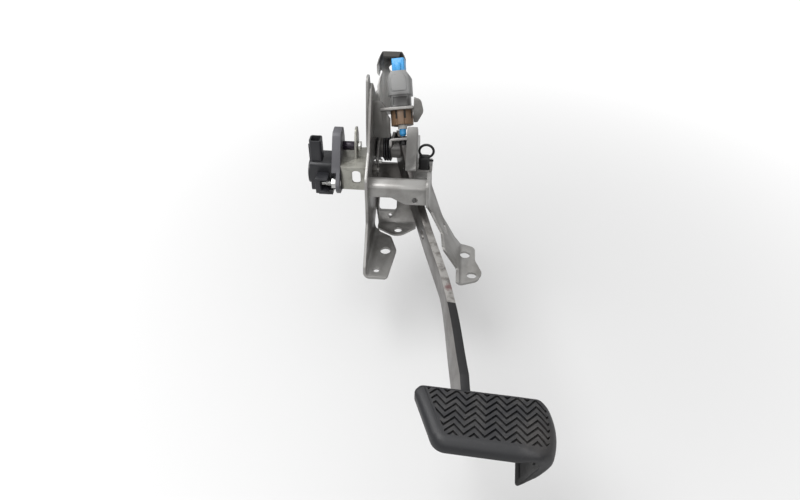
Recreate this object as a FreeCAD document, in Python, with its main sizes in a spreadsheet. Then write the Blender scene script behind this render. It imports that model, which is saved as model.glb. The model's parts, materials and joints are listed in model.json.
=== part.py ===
import FreeCAD, Part
import math
import os
import re
import Sketcher
from FreeCAD import Vector, Rotation, Placement

# Hanging brake pedal on its stamped bracket, with a stop-lamp switch and a stroke sensor.
# Origin: midway between the two firewall stud holes, on the underside of the feet.
# Z points away from the firewall, Y toward the pivot, X to the right of the pad.

doc = FreeCAD.newDocument("brake_pedal")
sheet = doc.addObject("Spreadsheet::Sheet", "Sizes")
sizes = {
    # Bracket stampings
    "sheet": 2.6,
    "stud_span": 86,
    "stud_hole": 11,
    "left_face": 62,
    "bracket_width": 64,
    "plate_jog": 14.5,
    "knee_z": 50,
    "foot_bend": 39,
    "bend_radius": 4,
    "beam_top": 91,
    "beam_low": 67,
    "beam_front": 3.5,
    "rear_tab": 37.6,
    "hook_top": 177,
    "hook_back": 118.6,
    "hook_bolt": 8.6,
    # Pivot
    "pivot_y": 82,
    "pivot_z": 83,
    "pivot_bolt": 8,
    "sleeve_od": 12,
    "bush_od": 16,
    "hub_od": 23,
    "bush_gap": 0.06,
    # Arm and pad
    "arm_thick": 7.6,
    "arm_bend": 39,
    "clevis_hole": 10,
    "pad_x": 57,
    "pad_y": 239,
    "pad_z": 44,
    "pad_turn": 4,
    "pad_width": 53,
    "pad_roll": 43.5,
    "pad_rubber": 7,
    "pad_steel": 2.5,
    "groove_pitch": 6.2,
    "groove_period": 15.5,
    "groove_depth": 2.2,
    # Stop-lamp switch
    "switch_x": 28,
    "switch_y": 52,
    "switch_z": 114,
    "switch_tilt": 36,
    "switch_lean": 7.8,
    "switch_body": 24,
    "collar_od": 23,
    "plunger_od": 7,
    # Stroke sensor
    "sensor_y": 44,
    "sensor_z": 70,
    "sensor_face": 95,
    "crank": 23,
    "half_sweep": 8,
    "sensor_pin": 5,
    "lever_thick": 3,
    # Return spring
    "spring_wire": 2.4,
    "spring_turns": 3,
}
for row, (alias, value) in enumerate(sizes.items(), 1):
    sheet.set("A%d" % row, alias)
    sheet.set("B%d" % row, str(value))
    sheet.setAlias("B%d" % row, alias)

doc.recompute()


def ex(text):
    # The right face follows from the left one; every other word is a size of the sheet.
    full = str(text).replace("right_face", "(bracket_width - left_face)")

    def word(found):
        return "Sizes." + found.group(0) if found.group(0) in sizes else found.group(0)
    return re.sub(r"[a-z][a-z0-9_]*", word, full)


def bind(obj, prop, text):
    obj.setExpression(prop, ex(text))


def new_body(name):
    return doc.addObject("PartDesign::Body", name)


def new_sketch(body, plane, offset):
    s = body.newObject("Sketcher::SketchObject", body.Name + "_outline")
    faces = [f for f in body.Origin.OriginFeatures if f.Role == plane + "_Plane"]
    s.AttachmentSupport = [(faces[0], "")]
    s.MapMode = "FlatFace"
    bind(s, "AttachmentOffset.Base.z", offset)
    return s


def loop(s, points):
    # Closed outline: every corner is held by its two distances from the origin.
    n = len(points)
    first = s.GeometryCount
    start = []
    for i in range(n):
        a = 2 * math.pi * i / n
        start.append(Vector(40 * math.cos(a), 40 * math.sin(a), 0))
    lines = [Part.LineSegment(start[i], start[(i + 1) % n]) for i in range(n)]
    s.addGeometry(lines, False)
    joins = []
    for i in range(n):
        joins.append(Sketcher.Constraint("Coincident", first + i, 2, first + (i + 1) % n, 1))
    s.addConstraint(joins)
    for i in range(n):
        kx = s.addConstraint(Sketcher.Constraint("DistanceX", -1, 1, first + i, 1, start[i].x))
        bind(s, "Constraints[%d]" % kx, points[i][0])
        ky = s.addConstraint(Sketcher.Constraint("DistanceY", -1, 1, first + i, 1, start[i].y))
        bind(s, "Constraints[%d]" % ky, points[i][1])
    return first


def ring(s, x, y, diameter):
    g = s.addGeometry(Part.Circle(Vector(20, 10, 0), Vector(0, 0, 1), 3), False)
    kx = s.addConstraint(Sketcher.Constraint("DistanceX", -1, 1, g, 3, 20))
    bind(s, "Constraints[%d]" % kx, x)
    ky = s.addConstraint(Sketcher.Constraint("DistanceY", -1, 1, g, 3, 10))
    bind(s, "Constraints[%d]" % ky, y)
    kd = s.addConstraint(Sketcher.Constraint("Diameter", g, 6))
    bind(s, "Constraints[%d]" % kd, diameter)


def pad(body, s, length):
    f = body.newObject("PartDesign::Pad", body.Name + "_pad")
    f.Profile = s
    bind(f, "Length", length)
    s.Visibility = False
    body.Tip = f
    return f


def soften(body, s, rounds):
    # Round chosen corners of the outline along the direction of the pad.
    normal = s.Placement.Rotation.multVec(Vector(0, 0, 1))
    for radius, corners in rounds:
        doc.recompute()
        base = body.Tip
        chosen = []
        for c in corners:
            p = s.Placement.multVec(s.Geometry[c].StartPoint)
            for k, e in enumerate(base.Shape.Edges):
                if e.Curve.TypeId != "Part::GeomLine":
                    continue
                if e.tangentAt(e.FirstParameter).cross(normal).Length > 1e-5:
                    continue
                if (e.Vertexes[0].Point - p).cross(normal).Length < 1e-4:
                    chosen.append("Edge%d" % (k + 1))
        f = body.newObject("PartDesign::Fillet", body.Name + "_round")
        f.Base = (base, chosen)
        bind(f, "Radius", radius)
        body.Tip = f


def block(name, plane, start, length, points, rounds=(), holes=(), cutouts=()):
    # Plane YZ pads along +X, XY along +Z and XZ along -Y from the plane at start.
    body = new_body(name)
    s = new_sketch(body, plane, start)
    loop(s, points)
    for h in holes:
        ring(s, *h)
    for c in cutouts:
        loop(s, c)
    pad(body, s, length)
    soften(body, s, rounds)
    return body


def common(name, *items):
    c = doc.addObject("Part::MultiCommon", name)
    c.Shapes = list(items)
    return c


def fuse(name, *items):
    c = doc.addObject("Part::MultiFuse", name)
    c.Shapes = list(items)
    c.Refine = True
    return c


def cut(name, base, *tools):
    c = doc.addObject("Part::Cut", name)
    c.Base = base
    c.Tool = tools[0] if len(tools) == 1 else fuse(name + "_tools", *tools)
    c.Refine = True
    return c


turns = {"x": Rotation(Vector(0, 1, 0), 90), "y": Rotation(Vector(1, 0, 0), -90), "z": Rotation()}


def put(obj, x, y, z):
    bind(obj, "Placement.Base.x", x)
    bind(obj, "Placement.Base.y", y)
    bind(obj, "Placement.Base.z", z)
    return obj


def rod(name, axis, diameter, length, x, y, z):
    c = doc.addObject("Part::Cylinder", name)
    c.Placement = Placement(Vector(), turns[axis])
    bind(c, "Radius", "(%s) / 2" % diameter)
    bind(c, "Height", length)
    return put(c, x, y, z)


def tube(name, axis, outer, inner, length, x, y, z):
    a = rod(name + "_outside", axis, outer, length, x, y, z)
    b = rod(name + "_bore", axis, inner, length, x, y, z)
    return cut(name, a, b)


def hexagon(name, axis, across, length, x, y, z):
    c = doc.addObject("Part::Prism", name)
    c.Polygon = 6
    c.Placement = Placement(Vector(), turns[axis])
    bind(c, "Circumradius", "(%s) / 2 / cos(30)" % across)
    bind(c, "Height", length)
    return put(c, x, y, z)


def box(name, x0, x1, y0, y1, z0, z1):
    c = doc.addObject("Part::Box", name)
    bind(c, "Length", "(%s) - (%s)" % (x1, x0))
    bind(c, "Width", "(%s) - (%s)" % (y1, y0))
    bind(c, "Height", "(%s) - (%s)" % (z1, z0))
    return put(c, x0, y0, z0)


nodes = {}


def node(name, obj):
    obj.Label = name
    nodes[name] = obj
    return obj


# Left side plate: upright sheet with its foot turned inward under the bracket.
screw_y = "40"
screw_low = "64"
screw_high = "80"
left_side = block("left_side", "YZ", "-left_face", 40, [
    (-44, 0), (-41, 12), (-9, 46), (-7, 60), (-7, "beam_top + 4"), (20, "pivot_z + 29"),
    ("switch_y - 8", "switch_z + 38"), ("switch_y", "switch_z + 53"), ("switch_y + 12", "switch_z + 53"),
    ("pivot_y + 8", 141), ("hook_back", 133), ("hook_back", 102), ("pivot_y + 30", "pivot_z - 19"),
    (64, 12), (31, 0)],
    [(8, [1, 2, 4, 5, 6, 9, 13]), (5, [7, 8, 10, 11])],
    [("pivot_y", "pivot_z", "pivot_bolt + 0.2"), (screw_y, screw_low, 6.2), (screw_y, screw_high, 6.2),
     ("pivot_y + 22", "pivot_z - spring_wire / 2 - hub_od / 2 - 1.3", "spring_wire + 0.1")])
left_front = block("left_front", "XZ", -130, 190, [
    ("-left_face", 0), ("-stud_span / 2 + 13", 0), ("-stud_span / 2 + 13", "sheet"),
    ("-left_face + sheet", "sheet"), ("-left_face + sheet", 200), ("-left_face", 200)],
    [("bend_radius + sheet", [0]), ("bend_radius", [3])])
left_plan = block("left_plan", "XY", -1, 220, [
    ("-left_face - 1", -50), ("-stud_span / 2 + 6", -44), ("-stud_span / 2 + 12", 2),
    ("-stud_span / 2 + 4", 25), ("-left_face + 9", 33), ("-left_face + 6", 46),
    ("-left_face + 6", 140), ("-left_face - 1", 140)],
    [(7, [1, 3, 4]), (9, [2])],
    [("-stud_span / 2", 0, "stud_hole"), (-49.3, -32.4, 6.6)])
pin_turn = "(atan2(pivot_z - sensor_z; pivot_y - sensor_y) - half_sweep * 1 deg)"
pin_y = "(pivot_y - crank * cos(%s))" % pin_turn
pin_z = "(pivot_z - crank * sin(%s))" % pin_turn
mid_turn = "(atan2(pivot_z - sensor_z; pivot_y - sensor_y))"
mid_y = "(pivot_y - crank * cos(%s))" % mid_turn
mid_z = "(pivot_z - crank * sin(%s))" % mid_turn
pin_window = rod("pin_window", "x", "sensor_pin + crank * 0.45", 30, "-left_face - 14", mid_y, mid_z)
left_blank = common("left_blank", left_side, left_front, left_plan)
node("left_side_plate", cut("left_plate", left_blank, pin_window))

# Doubler on the outside of the left plate beside the switch.
node("left_doubler", block("left_doubler", "YZ", "-left_face - sheet", "sheet", [
    (34, 106), ("switch_y - 13", "switch_z + 22"), ("switch_y - 2", "switch_z + 64"),
    ("switch_y + 9", "switch_z + 64"), ("switch_y + 24", "switch_z + 22"), ("pivot_y + 8", 126),
    ("pivot_y + 8", 106)],
    [(5, [2, 3]), (7, [0, 1, 4, 5, 6])]))

# Right side plate: flared out below the knee, foot turned outward, and set in to the left
# above a sloping shelf, where it carries the pivot.
upper_face = "right_face - plate_jog"
flare = "atan((foot_bend - right_face) / (knee_z - sheet))"
right_side = block("right_side", "YZ", -30, 120, [
    (-48, 0), (-48, "sheet + 2.5"), (-27, "sheet + 2.5"), (-20, 25), (2, 28), (17.5, 45),
    (17.5, "beam_low - 5"), (-5.5, "beam_low - 2"), (-5.5, "beam_top + 3"), (19, "beam_top + 3"),
    (23, "beam_top - 7"), ("pivot_y + 22", "pivot_z - 26"), ("pivot_y + 22", 53), (64, 49), (30, 31),
    (18, 12), (17, 0)],
    [(6, [3, 4, 5, 8]), (4, [12]), (10, [13, 14]), (3, [2, 6, 7, 9])], [],
    [[(8, 22), (20, 26), (20, 30), (8, 26)]])
right_front = block("right_front", "XZ", -130, 190, [
    ("right_face", 150), ("right_face", "knee_z"), ("foot_bend", "sheet"), ("stud_span / 2 + 20", "sheet"),
    ("stud_span / 2 + 20", 0), ("foot_bend + sheet * tan(%s) - sheet / cos(%s)" % (flare, flare), 0),
    ("right_face - sheet", "knee_z - sheet * tan(%s / 2)" % flare), ("right_face - sheet", 150)],
    [("bend_radius + 6", [1]), ("bend_radius", [2]), ("bend_radius + sheet", [5]),
     ("bend_radius + 6 + sheet", [6])])
right_plan = block("right_plan", "XY", -1, 220, [
    ("right_face - 9", -60), ("stud_span / 2 - 5", -47), ("stud_span / 2 + 13", -40),
    ("stud_span / 2 + 18", -28),
    ("stud_span / 2 + 11", -9), ("stud_span / 2 + 11", 13), ("foot_bend - 3", 19), ("right_face + 30", 60),
    ("right_face + 1", 70), ("right_face + 1", 140), ("right_face - 9", 140)],
    [(8, [2, 3, 4, 5]), (5, [1, 6]), (4.3, [12, 13, 14, 15])],
    [("stud_span / 2", 0, "stud_hole")],
    [[("stud_span / 2 + 2", -37), ("stud_span / 2 + 12.4", -37), ("stud_span / 2 + 12.4", -28.2),
      ("stud_span / 2 + 2", -28.2)]])
upper_side = block("upper_side", "YZ", "%s - sheet" % upper_face, "sheet", [
    (23, "beam_top - 9.5"), (23, "beam_top + 4"), (45, 127), (50, 125), (62, 108),
    ("pivot_y + 4", "pivot_z + 14"), ("pivot_y + 16", "pivot_z + 7"), ("pivot_y + 22", "pivot_z - 14"),
    ("pivot_y + 22", "pivot_z - 28.5")],
    [(3, [2, 3]), (8, [4, 5, 6, 7])],
    [("pivot_y", "pivot_z", "pivot_bolt + 0.2")])
shelf = block("shelf", "YZ", "%s - sheet" % upper_face, "plate_jog + sheet", [
    (23, "beam_top - 9.5"), (23, "beam_top - 7"), ("pivot_y + 22", "pivot_z - 26"),
    ("pivot_y + 22", "pivot_z - 28.5")])
roll_strip = block("roll_strip", "YZ", "%s - 11" % upper_face, 11, [
    (22, "beam_top + 1"), (45.6, 129), ("45.6 + sheet", 128), ("22 + sheet", "beam_top")],
    [(1.2, [1, 2])])
roll_front = block("roll_front", "XZ", -80, 80, [
    ("%s - 11" % upper_face, 80), (upper_face, 80), (upper_face, 130), ("%s - 11" % upper_face, 130)],
    [(4, [2]), (6, [3])])
roll = common("roll", roll_strip, roll_front)
clip_tab = block("clip_tab", "XZ", -52, 12, [
    ("%s - 1" % upper_face, 79), ("right_face + 1.6", 79), ("right_face + 1.6", 86),
    ("right_face - 0.8", 86), ("right_face - 0.8", 81.4), ("%s - 1" % upper_face, 81.4)],
    [(3, [1])])
node("right_side_plate", fuse("right_plate", common("right_blank", right_side, right_front, right_plan),
                              upper_side, shelf, roll, clip_tab))

# Front crosspiece: open channel joining the two plates above the arm.
beam_profile = block("beam_profile", "YZ", "-left_face", "left_face + right_face", [
    (17, "beam_top - 16"), (15.5, "beam_top"), (0, "beam_top - 5"), ("-beam_front", "beam_low - 6"),
    ("-beam_front + sheet", "beam_low - 6"), (2.4, "beam_top - 7"), (13.2, "beam_top - 3.5"),
    ("17 - sheet", "beam_top - 16")],
    [(6, [1, 2]), (3, [5, 6])])
beam_front = block("beam_front", "XZ", -30, 60, [
    ("-left_face + sheet", "beam_top - 17"), (-36, "beam_top - 17"), (-22, "beam_low"),
    ("right_face - sheet", "beam_low"), ("right_face - sheet", "beam_top + 5"),
    ("-left_face + sheet", "beam_top + 5")],
    [(9, [1, 2])],
    [(-12, "beam_low + 5", 6)])
node("front_crosspiece", common("front_beam", beam_profile, beam_front))

# Rear crosspiece: sloping wall under the hub, ending in the firewall tab.
wall_profile = block("wall_profile", "YZ", "-left_face", "left_face + right_face", [
    (20, 0), (20, "sheet"), (51, "sheet"), (93, 60), (96, 59), ("51 + sheet", 0)],
    [("bend_radius", [2]), ("bend_radius + sheet", [5])])
wall_front = block("wall_front", "XZ", -140, 160, [
    (-55, -1), (-13, -1), (-11, 22), ("right_face - sheet", 44), ("right_face - sheet", 56),
    ("-left_face + sheet", 56), ("-left_face + sheet", 16)],
    [(8, [2, 3]), (3, [8, 9, 10, 11])],
    [(-43, 8.5, 4)],
    [[(-56, 12.5), (-36, 12.5), (-36, 38), (-56, 38)]])
wall_plan = block("wall_plan", "XY", -1, 80, [
    (-56, "rear_tab + 3"), (-32.4, "rear_tab - 12"), (-12, "rear_tab + 7"), (-12, "rear_tab + 18"),
    ("right_face", "rear_tab + 20"), ("right_face", 120), ("-left_face", 120),
    ("-left_face", "rear_tab + 9")],
    [(14, [1]), (6, [0, 2])],
    [(-32.4, "rear_tab", 8.7)])
node("rear_crosspiece", common("rear_wall", wall_profile, wall_front, wall_plan))

# Upper support: channel with its open side toward the pad, bolted to the dash beam.
hook_plan = block("hook_plan", "XY", 104, "hook_top - 104", [
    ("-left_face + sheet", "hook_back - 20"), ("-left_face + 2 * sheet", "hook_back - 20"),
    ("-left_face + 2 * sheet", "hook_back - sheet"), ("-30 - sheet", "hook_back - sheet"),
    ("-30 - sheet", "hook_back - 14"), (-30, "hook_back - 14"), (-30, "hook_back"),
    ("-left_face + sheet", "hook_back")],
    [("bend_radius", [2, 3]), ("bend_radius + sheet", [6, 7])])
hook_front = block("hook_front", "XZ", -130, 60, [
    ("-left_face + sheet", 104), (-29, 112), (-29, "hook_top - 8"), (-35, "hook_top + 1"),
    ("-left_face + 7", "hook_top + 1"), ("-left_face + sheet", "hook_top - 7"),
    ("-left_face + sheet", "hook_top - 16"), ("-left_face + 7", "hook_top - 21"),
    ("-left_face + sheet", "hook_top - 30")],
    [(5, [3, 4]), (3, [6, 7, 8])],
    [(-44, "hook_top - 18", "hook_bolt")])
hook_lid = block("hook_lid", "XY", "hook_top - sheet", "sheet", [
    ("-left_face + 9", "hook_back - 13"), (-37, "hook_back - 13"), (-36, "hook_back - 1"),
    ("-left_face + 8", "hook_back - 1")])
node("upper_support", fuse("upper_hook", common("hook_blank", hook_plan, hook_front), hook_lid))


def sw(q, s):
    # Point of the side view given across and along the tilted axis of the switch.
    c = "cos(switch_tilt)"
    t = "sin(switch_tilt)"
    return ("switch_y + (%s) * %s + (%s) * %s" % (q, c, s, t),
            "switch_z - (%s) * %s + (%s) * %s" % (q, t, s, c))


def tilt(obj, x, y, s):
    # Stand a piece in the frame of the switch: s runs up from the resting plunger tip.
    frame = "placement(vector(-switch_x; switch_y; switch_z); rotation(0; -switch_lean; -switch_tilt))"
    bind(obj, "Placement", "%s * placement(vector(%s; %s; %s); rotation(0; 0; 0))" % (frame, x, y, s))
    return obj


def turned(name, diameter, s0, s1):
    c = doc.addObject("Part::Cylinder", name)
    bind(c, "Radius", "(%s) / 2" % diameter)
    bind(c, "Height", "(%s) - (%s)" % (s1, s0))
    return tilt(c, 0, 0, s0)


# Switch bracket: seat square to the switch, a web to the left plate and a rounded ear.
seat = block("seat", "XY", 26, "sheet", [
    (-20, -14.5), (13.5, -14.5), (14, 0), (13, 15), (-20, 15)])
tilt(seat, 0, 0, 0)
web = block("web", "XZ", "-switch_y - 12", "sheet", [
    ("-left_face + sheet", 106), ("-switch_x - 18", 106), ("-switch_x - 18", "switch_z + 25"),
    ("-switch_x - 23", "switch_z + 33"), ("-left_face + sheet", "switch_z + 33")],
    [(3, [1, 3])])
ear = block("ear", "XZ", "-switch_y - 12", "sheet", [
    ("-switch_x + 9.2", "switch_z + 12"), ("-switch_x + 14", "switch_z + 12"),
    ("-switch_x + 20", "switch_z + 24"),
    ("-switch_x + 17", "switch_z + 37"), ("-switch_x + 10", "switch_z + 39")],
    [(6, [2, 3]), (2, [1])])
seat_hole = turned("seat_hole", "collar_od - 3", 20, 34)
node("switch_bracket", cut("switch_mount", fuse("switch_plate", seat, web, ear), seat_hole,
                           turned("ear_relief", "collar_od + 0.6", 4, 26)))

# Stop-lamp switch: body above the seat, ribbed adjuster below it, connector on top.
collar = turned("collar_drum", "collar_od", 11.5, 26)
collar_neck = turned("collar_neck", "collar_od - 3", 26, "26 + sheet")
collar_bore = turned("collar_bore", 9.6, 0, 40)
ribs = []
for i in range(8):
    groove = doc.addObject("Part::Cylinder", "collar_groove")
    bind(groove, "Radius", 1.2)
    bind(groove, "Height", 11)
    a = math.radians(22.5 + 45 * i)
    out = "(collar_od / 2 + 0.2) * %.5f"
    tilt(groove, out % math.cos(a), out % math.sin(a), 11.5)
    ribs.append(groove)
node("switch_adjuster", cut("adjuster", fuse("collar_solid", collar, collar_neck), collar_bore, *ribs))

body_low = block("body_low", "XY", "26 + sheet", 13, [
    ("-switch_body / 2 + 2", -9), ("switch_body / 2 - 2", -9), ("switch_body / 2 - 2", 9),
    ("-switch_body / 2 + 2", 9)],
    [(3, [0, 1, 2, 3])])
body_high = block("body_high", "XY", "39 + sheet", 24, [
    ("-switch_body / 2", -10.5), ("switch_body / 2", -10.5), ("switch_body / 2", 10.5),
    ("-switch_body / 2", 10.5)],
    [(4, [0, 1, 2, 3])])
case_bore = rod("case_bore", "z", 9.6, 12, 0, 0, 24)
body_front = block("body_front", "XZ", -15, 30, [
    ("-switch_body / 2 - 1", 20), ("switch_body / 2 + 1", 20), ("switch_body / 2 + 1", "55 + sheet"),
    ("switch_body / 2 - 4.5", "63 + sheet"), ("-switch_body / 2 + 4.5", "63 + sheet"),
    ("-switch_body / 2 - 1", "55 + sheet")])
body_form = common("switch_form", fuse("switch_shell", body_low, body_high), body_front)
pocket = box("body_pocket", "-switch_body / 2 + 5", "switch_body / 2 - 5", -14, -6.5,
             "29 + sheet", "37 + sheet")
case = cut("switch_case", body_form, case_bore, pocket)
tilt(case, 0, 0, 0)
node("switch_body", case)

shell = block("connector_shell", "XY", "63 + sheet", 13, [
    (-6.5, -8), (6.5, -8), (6.5, 8), (-6.5, 8)],
    [(1.5, [0, 1, 2, 3])])
socket = block("connector_socket", "XY", "66 + sheet", 14, [
    (-4.9, -6.5), (4.9, -6.5), (4.9, 6.5), (-4.9, 6.5)])
latch = block("connector_latch", "XY", "63 + sheet", 8, [(-2.5, -10), (2.5, -10), (2.5, -7), (-2.5, -7)])
connector = cut("connector", fuse("connector_solid", shell, latch), socket)
tilt(connector, 0, 0, 0)
node("switch_connector", connector)
blade_a = block("blade_a", "XY", "66 + sheet", 4.5, [(-0.4, -4.5), (0.4, -4.5), (0.4, -2.5), (-0.4, -2.5)])
blade_b = block("blade_b", "XY", "66 + sheet", 4.5, [(-0.4, 2.5), (0.4, 2.5), (0.4, 4.5), (-0.4, 4.5)])
blades = fuse("blades", blade_a, blade_b)
tilt(blades, 0, 0, 0)
node("switch_terminals", blades)

node("switch_guide", cut("guide", turned("guide_outside", 9.6, 7.5, "26 + sheet"),
                         turned("guide_bore", "plunger_od + 0.1", 0, 40)))
node("switch_plunger", fuse("plunger", turned("plunger_stem", "plunger_od", 1.5, 22),
                            turned("plunger_nose", "plunger_od - 2", 0.3, 1.5)))

# Pivot: bolt into a weld nut behind the right plate, clamped sleeve, and nylon bushes that turn on it.
hub_a = "-left_face + sheet + 1.9"
nut_x = "right_face - plate_jog - sheet - 6.5"
hub_b = "%s - 1.9" % nut_x
head = hexagon("bolt_head", "x", 13, 5.3, "-left_face - 5.3", "pivot_y", "pivot_z")
shank = rod("bolt_shank", "x", "pivot_bolt", "bracket_width - plate_jog", "-left_face",
            "pivot_y", "pivot_z")
node("pivot_bolt", fuse("bolt", head, shank))
nut = hexagon("nut_body", "x", 13, 6.5, nut_x, "pivot_y", "pivot_z")
nut_bore = rod("nut_bore", "x", "pivot_bolt", 6.5, nut_x, "pivot_y", "pivot_z")
node("pivot_nut", cut("nut", nut, nut_bore))
node("pivot_sleeve", tube("pivot_sleeve", "x", "sleeve_od", "pivot_bolt + 0.1",
                          "left_face - sheet + %s" % nut_x, "-left_face + sheet", "pivot_y", "pivot_z"))
bush_bore = "sleeve_od + 2 * bush_gap"
for side, x, flange_x in (("left", hub_a, "%s - 1.7" % hub_a), ("right", "%s - 12" % hub_b, hub_b)):
    barrel = rod(side + "_barrel", "x", "bush_od", 12, x, "pivot_y", "pivot_z")
    flange = rod(side + "_flange", "x", "hub_od - 1", 1.7, flange_x, "pivot_y", "pivot_z")
    bore = rod(side + "_bore", "x", bush_bore, 20, "%s - 4" % x, "pivot_y", "pivot_z")
    node("bush_" + side, cut(side + "_bush", fuse(side + "_solid", barrel, flange), bore))
node("pedal_hub", tube("pedal_hub", "x", "hub_od", "bush_od", "(%s) - (%s)" % (hub_b, hub_a), hub_a,
                       "pivot_y", "pivot_z"))

# Pedal arm: plate cut to its side view and set over to the right on the way to the pad.
spring_z = "pivot_z - hub_od / 2 - 1.3 - spring_wire / 2"
arm_side = block("arm_side", "YZ", -80, 180, [
    ("pivot_y + 17", "pivot_z - 11"), ("pivot_y + 17", "pivot_z + 11"), ("pivot_y + 6", "pivot_z + 18"),
    ("pivot_y - 12", "pivot_z + 14"), ("pivot_y - 32", "pivot_z - 13"), (-12, 47), (-107, 38),
    ("-pad_y + 46", 38.5), ("-pad_y + 34", "pad_z - pad_rubber - pad_steel"),
    ("-pad_y - 14", "pad_z - pad_rubber - pad_steel"), ("-pad_y - 16", 24), ("-pad_y + 28", 10),
    (-107, 9.5), (-12, 17), (40, 34), ("pivot_y - 4", "pivot_z - 21")],
    [(9, [0, 1, 2, 3]), (30, [4, 5, 6, 12, 13, 14]), (5, [7, 8, 10]), (12, [11, 15])],
    [("pivot_y", "pivot_z", "hub_od"), (-8, 33.5, "clevis_hole"),
     ("pivot_y - 20", spring_z, "spring_wire + 0.1")])
arm_plan = block("arm_plan", "XY", -10, 160, [
    ("-arm_bend", 120), ("-arm_bend", "pivot_y + 3"), (-22, 48), (-1.5, -12), (18, -78),
    ("18 + arm_thick", -78), ("-1.5 + arm_thick", -12), ("-22 + arm_thick", 48),
    ("-arm_bend + arm_thick", "pivot_y + 3"), ("-arm_bend + arm_thick", 120)],
    [(60, [1, 2, 3, 6, 7, 8])])


def station(y, x, lean):
    # Section of the lower arm: it leans about its upper left edge.
    s = doc.addObject("Sketcher::SketchObject", "arm_station")
    s.Placement = Placement(Vector(), Rotation(Vector(1, 0, 0), 90))
    bind(s, "Placement.Base.y", y)
    low = "%s - 42 * tan(%s deg)" % (x, lean)
    high = "%s + 12 * tan(%s deg)" % (x, lean)
    loop(s, [(low, -4), (low + " + arm_thick", -4), (high + " + arm_thick", 50), (high, 50)])
    return s


arm_lower = doc.addObject("Part::Loft", "arm_lower")
arm_lower.Sections = [
    station("-78", "18", 0), station("-103", "23.8", 3), station("-128", "28.4", 6.5),
    station("-166", "33.6", 9), station("-pad_y + 35", "pad_x - 17.8", 11.3),
    station("-pad_y - 30", "pad_x - 12", 12)]
arm_lower.Solid = True
arm_blank = fuse("arm_blank", arm_plan, arm_lower)
node("pedal_arm", common("pedal_arm", arm_side, arm_blank))

# Stop tab on the left face of the arm, with the cushion that meets the plunger.
tab_leg = block("tab_leg", "YZ", "-arm_bend - sheet", "sheet", [
    sw(-7, -4.5), sw(8, -4.5), ("pivot_y - 18", "pivot_z + 22"), ("pivot_y + 4", "pivot_z + 17"),
    ("pivot_y + 15", "pivot_z + 10"), ("pivot_y + 16", "pivot_z"), ("pivot_y + 1", "pivot_z"),
    ("pivot_y - 12", "pivot_z + 13"), sw(-7, -14)],
    [(3, [5, 8]), (6, [3, 4])])
tab_seat = block("tab_seat", "XY", -4.5, 2.5, [
    ("-arm_bend + switch_x - 1.6", -7.5), (7, -7.5), (7, 8), ("-arm_bend + switch_x - 1.6", 8)],
    [(3, [1, 2])])
tilt(tab_seat, 0, 0, 0)
tab_hole = turned("tab_hole", 5, -8, 2)
tab_eye = rod("tab_eye", "x", "hub_od", 40, "-arm_bend - 20", "pivot_y", "pivot_z")
node("stop_tab", cut("stop_tab", fuse("tab_solid", tab_leg, tab_seat), tab_hole, tab_eye))
cushion = [turned("cushion_face", 10.5, -2, 0), turned("cushion_stem", 5, -4.5, -2),
           turned("cushion_back", 8, -8.5, -4.5)]
node("stop_cushion", fuse("stop_cushion", *cushion))

# Crank and pin on the hub that drive the stroke sensor through the left plate.
crank_x = "-left_face + sheet + 2.2"


def ck(r, w):
    # Point of the side view given along and across the resting crank.
    return ("pivot_y - (%s) * cos(%s) + (%s) * sin(%s)" % (r, pin_turn, w, pin_turn),
            "pivot_z - (%s) * sin(%s) - (%s) * cos(%s)" % (r, pin_turn, w, pin_turn))


crank_plate = block("crank_plate", "YZ", crank_x, "sheet", [
    ck(-15, -11), ck(-15, 11), ck(6, 14), ck("crank + 6", 6), ck("crank + 6", -6), ck(6, -14)],
    [(6, [0, 1, 2, 5]), (5, [3, 4])],
    [("pivot_y", "pivot_z", "hub_od"), (pin_y, pin_z, "sensor_pin")])
node("sensor_crank", crank_plate)
node("sensor_pin", rod("sensor_pin", "x", "sensor_pin", "sensor_face - left_face + 2 * sheet",
                       "-sensor_face + 3 + sheet", pin_y, pin_z))

# Return spring: coil round the hub, one leg in the left plate and the other in the arm.
coil_radius = "(hub_od / 2 + 1.3 + spring_wire / 2)"
coil = new_body("coil")
wire = new_sketch(coil, "XZ", 0)
ring(wire, coil_radius, 0, "spring_wire")
helix = coil.newObject("PartDesign::AdditiveHelix", "coil_helix")
helix.Profile = wire
helix.ReferenceAxis = (wire, ["V_Axis"])
helix.Mode = 0
bind(helix, "Pitch", "spring_wire + 0.35")
bind(helix, "Height", "(spring_wire + 0.35) * spring_turns")
coil.Tip = helix
wire.Visibility = False
coil.Placement = Placement(Vector(), turns["x"])
coil_x = "-arm_bend - sheet - 0.8 - spring_wire / 2 - (spring_wire + 0.35) * spring_turns"
coil_end = "-arm_bend - sheet - 0.8 - spring_wire / 2"
put(coil, coil_x, "pivot_y", "pivot_z")
leg_a = rod("leg_fixed", "y", "spring_wire", 22, coil_x, "pivot_y", spring_z)
leg_b = rod("leg_moving", "y", "spring_wire", 20, coil_end, "pivot_y - 20", spring_z)
hook_a = rod("leg_anchor", "x", "spring_wire", "left_face + (%s)" % coil_x, "-left_face",
             "pivot_y + 22", spring_z)
hook_b = rod("leg_drive", "x", "spring_wire", "22", coil_end, "pivot_y - 20", spring_z)
bead_a = doc.addObject("Part::Sphere", "leg_bead")
bind(bead_a, "Radius", "spring_wire / 2")
put(bead_a, coil_x, "pivot_y + 22", spring_z)
bead_b = doc.addObject("Part::Sphere", "leg_bead")
bind(bead_b, "Radius", "spring_wire / 2")
put(bead_b, coil_end, "pivot_y - 20", spring_z)
node("return_spring", fuse("return_spring", coil, leg_a, leg_b, hook_a, hook_b, bead_a, bead_b))

# Pad, drawn about the middle of its tread: x along the tread, z up from the tread.
roll_x = "55"


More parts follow.
